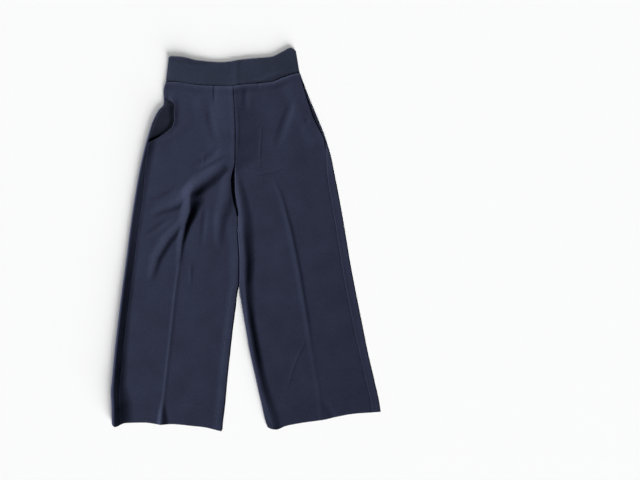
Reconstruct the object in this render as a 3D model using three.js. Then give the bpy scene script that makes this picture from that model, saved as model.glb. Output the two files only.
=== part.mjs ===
// Wide-leg trousers laid flat, front up, with the waist towards +Y.
// Millimetres, +Z up. The back panels lie on z = 0 and carry the front panels.
// Left and right are the wearer's, so the right leg is on the -X side.
import * as THREE from 'three';

// Cloth and seams
const CLOTH = 1.8;
const SEAM_GAP = 0.3;
const LAYER_GAP = 0.4;
const FLAT_TOP = 2 * CLOTH + LAYER_GAP;

// Waistband, stiffer and thicker than the legs
const BAND_CLOTH = 2.4;
const BAND_TOP = 2 * BAND_CLOTH + LAYER_GAP;
const BAND_LAP = 4;
const BAND_ROWS = [0, 0.14, 0.4, 0.7, 1];
const BACK_BAND_SHARE = 0.98;

// Seam allowance pressed down under the waist seam
const ALLOWANCE = { atSeam: 0.8, crest: 1.4, crestBelow: 8, endBelow: 28 };

// Pocket facings, which lie on the back panels and run in under the front panels
const FACING_CLOTH = 1.4;
const FACING_UNDER_FRONT = 18;
const MOUTH_FLAT = 24;
const MOUTH_SLOPE = 24;
const FACING_BELOW_ROLL = 0.4;
const FACING_LEAN = 0.06;

// Where the front crotch seam ends, the legs' inner edges start to roll
const ROLL_START = 60;
const ROLL_SHARP = 0.6;
const TUCK = 1.5;
const FLOOR_TAIL = 7;
const BACK_ARC = [90, 45, 0, -45, -90];

// Turns rows of numbers into records with the named columns
function table(names, rows) {
  const keys = names.split(' ');
  return rows.map((row) => Object.fromEntries(keys.map((key, i) => [key, row[i]])));
}

// Waist seam and the waistband's top edge, from the right side to the left
const WAIST_SEAM = table('x y', [
  [-220, 434.5], [-198, 434.5], [-164, 429.5], [-131, 425.5], [-91, 423], [-45, 421],
  [-11, 426], [35, 430.5], [69, 434], [102, 446.5], [125, 454.5], [147, 459.5],
]);
const BAND_EDGE = table('x y', [
  [-214, 500.5], [-207, 503.5], [-181, 502], [-131, 491.5], [-68, 487], [-48, 488.5],
  [-15, 494], [35, 498.5], [69, 502], [102, 517], [122, 526.5], [136, 520],
]);
const BAND_SIDES = { lowLeft: 146.6, highLeft: 136.5, lowRight: -220.3, highRight: -212.5 };

// Hem line of each leg
const RIGHT_HEM = table('x y', [
  [-368, -505], [-358, -513], [-331, -503.5], [-278, -503], [-234, -508], [-207, -507],
  [-149, -512], [-113, -516], [-83, -523], [-68, -526], [-64, -519],
]);
const LEFT_HEM = table('x y', [
  [59, -515], [70, -520], [82, -522], [110, -512], [148, -504.5], [217, -494.5],
  [258, -485], [302, -478], [340, -475.5], [370, -473],
]);

// Outer side of each leg. edge is the outline, roll the height of the rolled edge and slope the width over
// which it falls to flat cloth. lap is how far in from the outline the side seam lies.
const RIGHT_SIDE = table('y edge roll slope lap', [
  [435, -220, 4.4, 12, 4], [406, -227, 4.6, 12, 4], [380, -226, 6, 12, 5], [370, -227, 6.8, 12, 5.5],
  [356, -239.5, 8, 12, 6], [323, -257, 9, 14, 6], [290, -267.5, 9.6, 20, 6], [257, -277, 10, 24, 8],
  [208, -288.5, 10, 26, 12], [158, -298, 10, 26, 18], [92, -309, 10, 26, 22], [26, -318.5, 10, 26, 22],
  [-56, -329, 10, 28, 22], [-139, -340.5, 10, 30, 22], [-221, -350.5, 10.5, 34, 22],
  [-304, -360, 11.5, 36, 22], [-386, -367.5, 13, 38, 22], [-419, -370, 15, 46, 22],
  [-452, -368.5, 17, 52, 22], [-510, -367.5, 15.5, 54, 22],
]);
const LEFT_SIDE = table('y edge roll slope lap', [
  [460, 146.6, 4.4, 12, 4], [422, 161, 4.4, 12, 4], [389, 173.5, 4.4, 12, 4], [356, 187.5, 4.6, 12, 4],
  [323, 201, 4.6, 12, 4], [290, 214.5, 4.8, 14, 4], [257, 225, 5, 16, 8], [224, 234.5, 5, 16, 14],
  [191, 241, 5, 16, 20], [125, 254, 5, 16, 24], [59, 266, 5, 16, 24], [-73, 288, 5, 16, 25],
  [-139, 300.5, 5, 16, 26], [-221, 317, 5, 16, 26], [-304, 333.5, 5, 16, 24], [-386, 352.5, 5, 16, 24],
  [-452, 367, 5.2, 16, 24], [-474, 370, 5.2, 16, 24],
]);

// Inner side of both legs: the crotch seam, the gap below it, the line where the legs touch, then the two
// inner edges, which part. The rolls count below ROLL_START.
const INNER = table('y right left rollRight rollLeft', [
  [421, -36, -36, 4.2, 4.2], [408, -35, -35, 4.2, 4.2], [305, -30, -30, 4.2, 4.2],
  [205, -30.6, -30.6, 4.2, 4.2], [197, -32.4, -30.6, 4.2, 4.2], [182, -37.5, -30.6, 4.2, 4.2],
  [164, -39.8, -30.8, 4.2, 4.2], [136, -38.4, -30.6, 4.2, 4.2], [117, -35.8, -28.6, 4.2, 4.2],
  [100, -32.8, -24.4, 4.2, 4.2], [83, -28, -20.4, 4.2, 4.2], [66, -24.4, -21.4, 4.2, 4.2],
  [60, -23.2, -22.5, 4.2, 4.2],
  [56, -22.7, -22.4, 4.2, 4.3], [26, -23.6, -23.3, 6, 6], [-7, -21.2, -20.9, 8, 7.5],
  [-56, -18.2, -17.9, 9, 8], [-100, -18.4, -18.1, 9, 8], [-125, -19, -18.6, 9, 8],
  [-139, -22.5, -18, 9, 8], [-188, -28.5, -10.5, 8.5, 8], [-254, -37, 1, 8, 8],
  [-304, -42.5, 9.5, 8, 8], [-386, -51.4, 27.5, 8, 7], [-452, -57.2, 42.4, 8, 7],
  [-500, -63, 53.5, 7, 6], [-518, -64.6, 60, 7, 6],
]);
const INNER_SLOPE = 28;

// How far round the rolled inner edge the inseam lies, and how far in past the roll
const INSEAM = table('y angle past', [
  [58, 0, 1], [42, 45, 1], [28, 90, 1], [-60, 90, 7], [-160, 90, 17], [-520, 90, 17],
]);

// Pocket mouths: how far the front's free edge gapes away from the side seam, and how high it stands
const RIGHT_MOUTH = table('y gape lift', [
  [418, 0, 0], [390, 0, 2], [384, 8, 2], [376, 17, 2], [366, 28, 2], [356, 36.5, 2], [342, 45, 2],
  [323, 54, 2], [312, 54, 2], [300, 47, 2], [287, 34, 2], [274, 14, 2], [264, 0, 2], [236, 0, 0],
]);
const LEFT_MOUTH = table('y gape lift', [
  [446, 0, 0], [424, 0.5, 3], [370, 5, 3.2], [334, 7.5, 3.2], [298, 4.5, 3.2], [268, 0, 3], [242, 0, 0],
]);

// Where each facing ends, and the width over which it falls away under the front's free edge
const RIGHT_FACING = { top: 392, bottom: 272, fall: 20 };
const LEFT_FACING = { top: 418, bottom: 276, fall: 5 };

// Folds. Each crest runs down through its rows, high above the flat cloth. east and west are the widths
// of its slopes, on the side towards +X and the side towards -X. sharp is how pointed the crest is on
// each side, from 0 for a round swell to 1.
const fold = (sharp, ...rows) => ({
  sharp: { east: 0, west: 0, ...sharp },
  rows: table('x y high east west', rows),
});

const CENTRE_FOLD = fold({ east: 0.8 },
  [-36, 421, 3.2, 150, 80], [-31, 360, 5, 180, 96], [-30, 290, 5.6, 180, 100], [-31, 230, 4.4, 120, 70],
  [-34, 180, 0, 10, 10]);
const RIGHT_FOLDS = [
  // the main fold from the crotch, which fades towards the side
  fold({}, [-47, 219, 0, 18, 20], [-73, 192, 3.4, 26, 26], [-101, 170, 5.6, 30, 30],
    [-126, 152, 6.4, 30, 34], [-144, 133, 6.3, 28, 34], [-162, 117, 4.6, 20, 30],
    [-185, 97, 3.2, 17, 26], [-207, 89, 2.6, 16, 24], [-235, 80, 1.9, 15, 22], [-265, 66, 0, 12, 14]),
  // the crest that turns down from it into the pressed crease
  fold({ east: 0.85, west: 0.3 }, [-143, 140, 6, 40, 24], [-151, 126, 8, 44, 30], [-152.5, 105, 8, 48, 28],
    [-154, 77, 6.6, 34, 24], [-166, 41, 5, 24, 20], [-176, -7, 2.8, 16, 15], [-182, -55, 1.2, 12, 12],
    [-186, -80, 0, 9, 12]),
  // the fold that branches from the crest towards the side
  fold({ east: 0.3 }, [-166, 58, 1.4, 12, 18], [-171, 49, 2.2, 14, 20], [-193, 21, 3, 16, 24],
    [-213, -2, 3.3, 17, 26], [-230, -29, 3.3, 17, 26], [-243, -52, 3, 16, 26], [-253, -86, 1.9, 15, 22],
    [-264, -120, 0, 12, 14]),
  // the fold beside the gap at the crotch
  fold({}, [-46, 186, 0, 14, 20], [-46, 169, 2.2, 20, 26], [-50, 120, 2.8, 26, 32], [-62, 87, 2.8, 30, 26],
    [-71, 59, 2.6, 24, 22], [-74, 21, 2, 20, 18], [-75, -29, 0, 16, 14]),
  // the pressed crease
  fold({ east: 0.7, west: 0.6 }, [-175, -7, 0, 9, 9], [-183, -60, 1, 9, 9], [-195, -144, 1.4, 9, 9],
    [-205, -240, 1.4, 9, 9], [-227, -438, 1.2, 9, 9], [-234, -512, 1.2, 9, 9]),
  // the cloth that stands up beside the crease at the hem
  fold({ east: 0.3 }, [-227, -436, 0, 6, 6], [-231, -468, 3, 14, 10], [-234, -514, 7, 28, 14]),
];
const LEFT_FOLDS = [
  // the pressed crease, fading below the knee
  fold({ east: 0.9, west: 0.5 }, [74, 172, 0, 10, 10], [98, 117, 1.3, 11, 14], [123, 26, 2, 11, 16],
    [145, -84, 2, 11, 16], [167, -216, 1.6, 11, 14], [177, -290, 0.8, 11, 12], [198, -414, 0.6, 11, 12],
    [209, -498, 0.6, 11, 12]),
  // the rounded fold along the inner edge
  fold({}, [-27, 186, 0, 10, 6], [-15, 110, 3.4, 24, 14], [-9, 68, 4, 28, 16], [-6, 26, 4.4, 30, 18],
    [1, -56, 4.6, 26, 20], [0, -110, 4.2, 24, 18], [2, -165, 3, 24, 12], [8, -225, 3, 22, 12],
    [19, -290, 3, 22, 14], [30, -345, 2.6, 22, 14], [42, -400, 2.4, 22, 14], [67, -474, 3, 22, 18],
    [78, -512, 2.4, 20, 16]),
];
const BAND_FOLDS = [
  // the top edge stands up a little on the right side
  fold({}, [-208, 499, 2, 14, 12], [-165, 496, 3.2, 18, 16], [-120, 488, 1.5, 16, 14],
    [-92, 486, 0, 12, 12]),
];

// Nominal heights of the rows of each leg, at its inner edge: close together in the folds, wide apart below
const RIGHT_ROWS = [
  404, 388, 378, 366, 350, 332, 314, 298, 284, 270, 252, 232, 216, 204, 192, 180, 168, 156, 144, 132,
  120, 108, 97, 88, 79, 70, 62, 54, 40, 26, 10, -8, -26, -46, -68, -92, -120, -155, -200, -250, -305,
  -355, -400, -440, -474, -500,
];
const LEFT_ROWS = [
  402, 382, 360, 336, 312, 288, 264, 240, 216, 204, 192, 180, 164, 148, 132, 120, 108, 97, 88, 79, 70,
  62, 54, 40, 26, 4, -26, -62, -102, -148, -205, -265, -325, -380, -430, -470, -498,
];

// The middle column of each front follows its crease: from the waist seam into the main fold, then to
// the hem
const RIGHT_GUIDE = table('y x', [
  [421, -128], [300, -122], [215, -110], [163, -117], [133, -144], [105, -152.5], [77, -154], [41, -166],
  [-7, -176], [-55, -182], [-144, -195], [-240, -205], [-438, -227], [-512, -234],
]);
const LEFT_GUIDE = table('y x', [
  [440, 50], [300, 58], [172, 74], [117, 98], [26, 123], [-84, 145], [-216, 167], [-290, 177], [-414, 198],
  [-498, 209],
]);
const RIGHT_FRONT_COLUMNS = 27;
const LEFT_FRONT_COLUMNS = 19;

const { clamp, lerp, degToRad } = THREE.MathUtils;

// A smooth curve through a table's rows that never overshoots them (a monotone cubic)
function curve(rows, from, to) {
  const points = rows.map((row) => [row[from], row[to]]).sort((a, b) => a[0] - b[0]);
  const steps = points.slice(1).map((p, i) => (p[1] - points[i][1]) / (p[0] - points[i][0]));
  const slopes = points.map((p, i) => {
    if (i === 0) return steps[0];
    if (i === points.length - 1) return steps[i - 1];
    const [before, after] = [steps[i - 1], steps[i]];
    return before * after <= 0 ? 0 : (2 * before * after) / (before + after);
  });
  return (at) => {
    const t = clamp(at, points[0][0], points.at(-1)[0]);
    let i = 0;
    while (i < points.length - 2 && t > points[i + 1][0]) i += 1;
    const width = points[i + 1][0] - points[i][0];
    const s = (t - points[i][0]) / width;
    const [rise, fall] = [s * s * (3 - 2 * s), s * (1 - s)];
    return lerp(points[i][1], points[i + 1][1], rise)
      + width * fall * ((1 - s) * slopes[i] - s * slopes[i + 1]);
  };
}

// 1 on the crest, falling smoothly to 0 at the far side of the slope
function swell(share) {
  return share >= 1 ? 0 : 0.5 + 0.5 * Math.cos(Math.PI * Math.max(share, 0));
}

// The same, with the top pointed instead of round where sharp is 1
function slopeProfile(share, sharp) {
  return lerp(swell(share), clamp(1 - share, 0, 1) ** 2, sharp);
}

function foldHeight({ rows, sharp }, x, y) {
  let near = { gap: Infinity };
  for (let i = 0; i + 1 < rows.length; i += 1) {
    const [a, b] = [rows[i], rows[i + 1]];
    const [dx, dy] = [b.x - a.x, b.y - a.y];
    const s = clamp(((x - a.x) * dx + (y - a.y) * dy) / (dx * dx + dy * dy), 0, 1);
    const [offX, offY] = [x - a.x - s * dx, y - a.y - s * dy];
    const gap = Math.hypot(offX, offY);
    if (gap < near.gap) near = { gap, a, b, s, side: dx * offY - dy * offX > 0 ? 'east' : 'west' };
  }
  const share = near.gap / lerp(near.a[near.side], near.b[near.side], near.s);
  return lerp(near.a.high, near.b.high, near.s) * slopeProfile(share, sharp[near.side]);
}

// Folds that meet blend into one another instead of adding up
function foldsHeight(folds, x, y) {
  return Math.cbrt(folds.reduce((sum, each) => sum + foldHeight(each, x, y) ** 3, 0));
}

const waistSeam = curve(WAIST_SEAM, 'x', 'y');
const bandEdge = curve(BAND_EDGE, 'x', 'y');
const inseamAngle = curve(INSEAM, 'y', 'angle');
const inseamPast = curve(INSEAM, 'y', 'past');
const crotchMiddle = curve(INNER.map(({ y, left, right }) => ({ y, x: (left + right) / 2 })), 'y', 'x');

function makeLeg({
  side, sideRows, innerName, rollName, hemRows, mouthRows, folds, rows, guideRows, columns, facing,
}) {
  const leg = {
    side,
    columns,
    facing,
    folds: [CENTRE_FOLD, ...folds],
    guide: curve(guideRows, 'y', 'x'),
    outer: curve(sideRows, 'y', 'edge'),
    outerRoll: curve(sideRows, 'y', 'roll'),
    outerSlope: curve(sideRows, 'y', 'slope'),
    lap: curve(sideRows, 'y', 'lap'),
    inner: curve(INNER, 'y', innerName),
    innerRoll: curve(INNER, 'y', rollName),
    hem: curve(hemRows, 'x', 'y'),
    gape: curve(mouthRows, 'y', 'gape'),
    lift: curve(mouthRows, 'y', 'lift'),
  };
  const crotchX = crotchMiddle(waistSeam(leg.inner(WAIST_SEAM[5].y)));
  const start = waistSeam(crotchX);
  const end = leg.hem(leg.inner(INNER.at(-1).y));
  leg.heights = [start, ...rows, end];
  leg.fractions = leg.heights.map((y) => (y - start) / (end - start));
  return leg;
}

const rightLeg = makeLeg({
  side: -1, sideRows: RIGHT_SIDE, innerName: 'right', rollName: 'rollRight', hemRows: RIGHT_HEM,
  mouthRows: RIGHT_MOUTH, folds: RIGHT_FOLDS, rows: RIGHT_ROWS, guideRows: RIGHT_GUIDE,
  columns: RIGHT_FRONT_COLUMNS, facing: RIGHT_FACING,
});
const leftLeg = makeLeg({
  side: 1, sideRows: LEFT_SIDE, innerName: 'left', rollName: 'rollLeft', hemRows: LEFT_HEM,
  mouthRows: LEFT_MOUTH, folds: LEFT_FOLDS, rows: LEFT_ROWS, guideRows: LEFT_GUIDE,
  columns: LEFT_FRONT_COLUMNS, facing: LEFT_FACING,
});

function allowanceHeight(below) {
  const { atSeam, crest, crestBelow, endBelow } = ALLOWANCE;
  if (below < crestBelow) return lerp(atSeam, crest, below / crestBelow);
  return crest * swell((below - crestBelow) / (endBelow - crestBelow));
}

// Height of the top face of a leg, with its rolled edges and folds
function legTop(leg, x, y) {
  const fromOuter = leg.side * (leg.outer(y) - x);
  const fromInner = leg.side * (x - leg.inner(y));
  const outerRoll = leg.outerRoll(y);
  let top = FLAT_TOP + foldsHeight(leg.folds, x, y) + allowanceHeight(waistSeam(x) - y);
  top += (outerRoll - FLAT_TOP) * slopeProfile((fromOuter - outerRoll / 2) / leg.outerSlope(y), ROLL_SHARP);
  if (y < ROLL_START) {
    const innerRoll = leg.innerRoll(y);
    top += (innerRoll - FLAT_TOP) * swell((fromInner - innerRoll / 2) / INNER_SLOPE);
  }
  return top;
}

// The front panel stands up along the mouth of its pocket
function frontTop(leg, x, y) {
  const fromMouth = leg.side * (leg.outer(y) - x) - leg.lap(y) - leg.gape(y);
  return legTop(leg, x, y) + leg.lift(y) * swell((fromMouth - MOUTH_FLAT) / MOUTH_SLOPE);
}

// The two faces of a wall whose outer face is height(x, y): the inner face is a cloth thickness away
function wallAt(height, x, y) {
  const top = height(x, y);
  const slope = Math.hypot(height(x + 1, y) - top, height(x, y + 1) - top);
  const depth = CLOTH * Math.min(Math.hypot(1, slope), 1.5);
  return { outside: [x, top], inside: [x, Math.max(top - depth, CLOTH + LAYER_GAP)] };
}

// The two faces of a rolled edge at an angle: -90 on the floor, 0 at the outline, 90 on top. shift moves
// them along the roll.
function rollAt(edge, side, height, angle, cloth, shift = 0) {
  const radius = height / 2;
  const [sin, cos] = [Math.sin(degToRad(angle)), Math.cos(degToRad(angle))];
  const at = (r) => [edge + side * (r * cos - radius - shift * sin), radius + r * sin + shift * cos];
  return { outside: at(radius), inside: at(radius - cloth) };
}

// A column is a function of the row's nominal height and the column's own y
function frontColumns(leg) {
  const inward = -leg.side;
  const height = (x, y) => frontTop(leg, x, y);
  const outerEnd = (y) => leg.outer(y) + inward * (leg.lap(y) + leg.gape(y) + SEAM_GAP / 2);
  const rolled = (row) => row < ROLL_START && inseamAngle(row) < 90;
  const innerEnd = (row, y) => {
    if (rolled(row)) return leg.inner(y) - inward * (leg.innerRoll(y) / 2);
    const past = row < ROLL_START ? leg.innerRoll(y) / 2 + inseamPast(row) : 0;
    return leg.inner(y) - inward * (past + SEAM_GAP / 2 + TUCK);
  };
  const half = (leg.columns - 1) / 2;
  const top = Array.from({ length: leg.columns }, (_, i) => (row, y) => {
    const x = i < half
      ? lerp(outerEnd(y), leg.guide(y), i / half)
      : lerp(leg.guide(y), innerEnd(row, y), i / half - 1);
    return wallAt(height, x, y);
  });
  const tail = [1, 2, 3].map((step) => (row, y) => {
    const share = step / 3;
    if (!rolled(row)) return wallAt(height, innerEnd(row, y) + inward * TUCK * share, y);
    const angle = lerp(90, inseamAngle(row), share);
    const shift = step === 3 ? SEAM_GAP / 2 : 0;
    return rollAt(leg.inner(y), inward, leg.innerRoll(y), angle, CLOTH, shift);
  });
  return [...top, ...tail];
}

function backColumns(leg) {
  const inward = -leg.side;
  const height = (x, y) => legTop(leg, x, y);
  const floor = (x) => ({ outside: [x, 0], inside: [x, CLOTH] });
  const lip = [0, 0.5].map((share) => (row, y) => {
    const inset = lerp(leg.lap(y) - SEAM_GAP / 2, leg.outerRoll(y) / 2, share);
    return wallAt(height, leg.outer(y) + inward * inset, y);
  });
  const outerArc = BACK_ARC.map((angle) => (row, y) => (
    rollAt(leg.outer(y), leg.side, leg.outerRoll(y), angle, CLOTH)));
  const floorFrom = (y) => leg.outer(y) + inward * leg.outerRoll(y) / 2;
  const tailAt = (y, share) => crotchMiddle(y) - inward * (SEAM_GAP / 2 + FLOOR_TAIL * (1 - share));
  const floorTo = (row, y) => (
    row < ROLL_START ? leg.inner(y) - inward * leg.innerRoll(y) / 2 : tailAt(y, 0));
  const bottom = [1, 2].map((i) => (row, y) => floor(lerp(floorFrom(y), floorTo(row, y), i / 3)));
  const innerArc = [0, 1, 2, 3, 4].map((i) => (row, y) => {
    if (row >= ROLL_START) return floor(tailAt(y, i / 5));
    const last = inseamAngle(row) < 90 ? inseamAngle(row) - 12 : 90;
    return rollAt(leg.inner(y), inward, leg.innerRoll(y), lerp(-90, last, i / 4), CLOTH);
  });
  const innerLip = (row, y) => {
    if (row >= ROLL_START) return floor(tailAt(y, 1));
    if (inseamAngle(row) < 90) {
      return rollAt(leg.inner(y), inward, leg.innerRoll(y), inseamAngle(row), CLOTH, -SEAM_GAP / 2);
    }
    const inset = leg.innerRoll(y) / 2 + inseamPast(row) - SEAM_GAP / 2;
    return wallAt(height, leg.inner(y) - inward * inset, y);
  };
  return [...lip, ...outerArc, ...bottom, ...innerArc, innerLip];
}

// A facing starts just below the rolled edge, leans down from there and falls away under the front
function facingColumns(leg) {
  const inward = -leg.side;
  const lowest = CLOTH + SEAM_GAP + FACING_CLOTH;
  return [0, 0.25, 0.5, 0.62, 0.74, 0.87, 1].map((share) => (row, y) => {
    const across = share * (leg.gape(y) + FACING_UNDER_FRONT);
    const x = leg.outer(y) + inward * (leg.lap(y) + SEAM_GAP / 2 + across);
    const rim = Math.max(leg.outerRoll(y) - FACING_BELOW_ROLL - FACING_LEAN * across, lowest);
    const top = lerp(lowest, rim, swell((across - leg.gape(y)) / leg.facing.fall + 1));
    return { outside: [x, top], inside: [x, top - FACING_CLOTH] };
  });
}

// Follows a column from the waist seam down to the hem and places it on every row
function placeColumns(leg, columns) {
  return columns.map((column) => {
    let [top, bottom] = [leg.heights[0], leg.heights.at(-1)];
    for (let pass = 0; pass < 12; pass += 1) {
      top = waistSeam(column(leg.heights[0], top).outside[0]);
      bottom = leg.hem(column(leg.heights.at(-1), bottom).outside[0]);
    }
    return leg.heights.map((row, i) => {
      const y = lerp(top, bottom, leg.fractions[i]);
      const { outside, inside } = column(row, y);
      return { outside: [outside[0], y, outside[1]], inside: [inside[0], y, inside[1]] };
    });
  });
}

// A closed wall of cloth between the outside and inside faces of a grid of points
function wallGeometry(grid) {
  const [columns, rows] = [grid.length, grid[0].length];
  const facePoints = (face) => grid.flatMap((line) => line.map((point) => point[face]));
  const points = [...facePoints('outside'), ...facePoints('inside')];
  const at = (face, c, r) => (face * columns + c) * rows + r;
  const triangles = [];
  const quad = (a, b, c, d) => triangles.push([a, b, c], [a, c, d]);
  for (let c = 0; c + 1 < columns; c += 1) {
    for (let r = 0; r + 1 < rows; r += 1) {
      quad(at(0, c, r), at(0, c, r + 1), at(0, c + 1, r + 1), at(0, c + 1, r));
      quad(at(1, c, r), at(1, c + 1, r), at(1, c + 1, r + 1), at(1, c, r + 1));
    }
    quad(at(0, c, 0), at(0, c + 1, 0), at(1, c + 1, 0), at(1, c, 0));
    quad(at(0, c + 1, rows - 1), at(0, c, rows - 1), at(1, c, rows - 1), at(1, c + 1, rows - 1));
  }
  for (let r = 0; r + 1 < rows; r += 1) {
    quad(at(0, 0, r + 1), at(0, 0, r), at(1, 0, r), at(1, 0, r + 1));
    const last = columns - 1;
    quad(at(0, last, r), at(0, last, r + 1), at(1, last, r + 1), at(1, last, r));
  }
  const corner = (i) => new THREE.Vector3(...points[i]);
  const volume = triangles.reduce((sum, [a, b, c]) => sum + corner(a).cross(corner(b)).dot(corner(c)), 0);
  const faces = volume > 0 ? triangles : triangles.map(([a, b, c]) => [a, c, b]);
  const geometry = new THREE.BufferGeometry();
  geometry.setAttribute('position', new THREE.Float32BufferAttribute(points.flat(), 3));
  geometry.setIndex(faces.flat());
  geometry.computeVertexNormals();
  return geometry;
}

function legPanel(leg, columns) {
  return wallGeometry(placeColumns(leg, columns));
}

function facingPanel(leg) {
  const grid = placeColumns(leg, facingColumns(leg));
  const kept = grid[0].map((point, r) => r).filter((r) => (
    grid[0][r].outside[1] <= leg.facing.top && grid[0][r].outside[1] >= leg.facing.bottom));
  return wallGeometry(grid.map((line) => kept.map((r) => line[r])));
}

// The waistband's sides lean in towards its top edge
function bandSide(side, share) {
  const { lowLeft, highLeft, lowRight, highRight } = BAND_SIDES;
  return side > 0 ? lerp(lowLeft, highLeft, share) : lerp(lowRight, highRight, share);
}

function bandAcross(x, share) {
  const along = (x - bandSide(-1, 0)) / (bandSide(1, 0) - bandSide(-1, 0));
  return lerp(bandSide(-1, share), bandSide(1, share), along);
}

// A waistband column rises from the waist seam, xAt(0), to the top edge, xAt(1). faces gives its two faces
// at a share of the band's height.
function bandColumn(xAt, topShare, faces) {
  const low = waistSeam(xAt(0)) + SEAM_GAP;
  const high = bandEdge(xAt(1));
  return BAND_ROWS.map((row) => {
    const share = row * topShare;
    const y = lerp(low, high, share);
    const { outside, inside } = faces(share, y);
    return { outside: [outside[0], y, outside[1]], inside: [inside[0], y, inside[1]] };
  });
}

function bandTopColumn(xAt, topShare) {
  return bandColumn(xAt, topShare, (share, y) => {
    const top = BAND_TOP + foldsHeight(BAND_FOLDS, xAt(share), y);
    return { outside: [xAt(share), top], inside: [xAt(share), top - BAND_CLOTH] };
  });
}

// x of some columns of a leg panel on its waist seam
function seamStations(leg, columns) {
  return placeColumns(leg, columns).map((line) => line[0].outside[0]);
}

function frontBand() {
  const right = seamStations(rightLeg, frontColumns(rightLeg).slice(1, rightLeg.columns));
  const left = seamStations(leftLeg, frontColumns(leftLeg).slice(1, leftLeg.columns));
  const end = (side) => (share) => bandSide(side, share) - side * (BAND_LAP + SEAM_GAP / 2);
  const between = [...right, ...left.reverse()].map((x) => (share) => bandAcross(x, share));
  return wallGeometry([end(-1), ...between, end(1)].map((xAt) => bandTopColumn(xAt, 1)));
}

function backBand() {
  const floorColumn = (x) => {
    const xAt = (share) => bandAcross(x, share);
    return bandColumn(xAt, BACK_BAND_SHARE, (share) => (
      { outside: [xAt(share), 0], inside: [xAt(share), BAND_CLOTH] }));
  };
  const sideColumns = (side) => {
    const lip = (share) => bandSide(side, share) - side * (BAND_LAP - SEAM_GAP / 2);
    const arc = BACK_ARC.map((angle) => {
      const facesAt = (share) => rollAt(bandSide(side, share), side, BAND_TOP, angle, BAND_CLOTH);
      return bandColumn((share) => facesAt(share).outside[0], BACK_BAND_SHARE, facesAt);
    });
    return [bandTopColumn(lip, BACK_BAND_SHARE), ...arc];
  };
  const stations = (leg) => seamStations(leg, backColumns(leg).slice(7, 10));
  const floor = [...stations(rightLeg), ...stations(leftLeg).reverse()].map(floorColumn);
  return wallGeometry([...sideColumns(-1), ...floor, ...sideColumns(1).reverse()]);
}

const navyCrepe = new THREE.MeshStandardMaterial({ color: 0x2e3246, roughness: 0.85, metalness: 0 });
const navyBand = new THREE.MeshStandardMaterial({ color: 0x303645, roughness: 0.82, metalness: 0 });
const navyFacing = new THREE.MeshStandardMaterial({ color: 0x232738, roughness: 0.88, metalness: 0 });

function piece(name, geometry, material) {
  const mesh = new THREE.Mesh(geometry, material.clone());
  mesh.name = name;
  return mesh;
}

const trousers = new THREE.Group();
trousers.add(
  piece('right_back', legPanel(rightLeg, backColumns(rightLeg)), navyCrepe),
  piece('left_back', legPanel(leftLeg, backColumns(leftLeg)), navyCrepe),
  piece('right_front', legPanel(rightLeg, frontColumns(rightLeg)), navyCrepe),
  piece('left_front', legPanel(leftLeg, frontColumns(leftLeg)), navyCrepe),
  piece('right_pocket_facing', facingPanel(rightLeg), navyFacing),
  piece('left_pocket_facing', facingPanel(leftLeg), navyFacing),
  piece('waistband_back', backBand(), navyBand),
  piece('waistband_front', frontBand(), navyBand),
);

// The origin is at the middle of the bottom of the trousers' box
const box = new THREE.Box3().setFromObject(trousers);
const middle = box.getCenter(new THREE.Vector3());
trousers.position.set(-middle.x, -middle.y, -box.min.z);

export default trousers;
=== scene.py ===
"""Wide-leg trousers laid flat: pressed navy crepe with a plain waistband.

Sizes are in millimetres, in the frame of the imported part: +X is the wearer's left, +Y the waist and +Z up.
Meshes are built in millimetres and written in metres. Flat sizes and the studio are in metres.
"""

import logging
import math
from dataclasses import dataclass, field
from enum import Enum
from typing import Callable

import bpy
import numpy as np
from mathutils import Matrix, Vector

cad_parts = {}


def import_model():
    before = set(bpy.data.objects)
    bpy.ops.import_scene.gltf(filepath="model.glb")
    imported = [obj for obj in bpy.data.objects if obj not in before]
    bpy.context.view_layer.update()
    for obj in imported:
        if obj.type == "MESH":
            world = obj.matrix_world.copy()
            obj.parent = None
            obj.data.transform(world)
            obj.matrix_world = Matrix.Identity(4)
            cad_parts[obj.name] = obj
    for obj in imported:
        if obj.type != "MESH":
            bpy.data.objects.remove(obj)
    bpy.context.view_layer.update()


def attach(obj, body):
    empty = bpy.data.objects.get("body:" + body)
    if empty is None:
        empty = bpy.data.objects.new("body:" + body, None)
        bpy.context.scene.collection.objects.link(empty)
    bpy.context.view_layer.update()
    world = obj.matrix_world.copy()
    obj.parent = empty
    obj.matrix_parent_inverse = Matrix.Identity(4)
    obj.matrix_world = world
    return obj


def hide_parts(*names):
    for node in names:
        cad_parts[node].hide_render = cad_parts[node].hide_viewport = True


LOG = logging.getLogger("trousers")
MM = 0.001
BODY = "root"

# Thickness of the cloth, and the gaps at its seams. FLAT_TOP is where the front lies flat on the back.
FLAT_TOP = 4.0
SHELL = 1.2
BAND_SHELL = 2.2
FACING_SHELL = 1.1
SEAM_GAP = 0.24
SEAT_GAP = 0.04

# Height of the seam allowance that is pressed down under the waist seam
ALLOWANCE_AT_SEAM = -0.2
ALLOWANCE_CREST = 1.4
ALLOWANCE_CREST_BELOW = 8.0
ALLOWANCE_END_BELOW = 28.0

# Where the front crotch seam ends, where the legs' inner edges start to roll, and how wide those slope
SLIT_TOP = 205.0
ROLL_START = 60.0
INNER_SLOPE = 28.0

# How steeply the outer rolls fall, and how far from a pocket's mouth its lifted edge is flat and slopes
ROLL_SHARP = 0.6
MOUTH_FLAT = 24.0
MOUTH_SLOPE = 40.0

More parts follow.
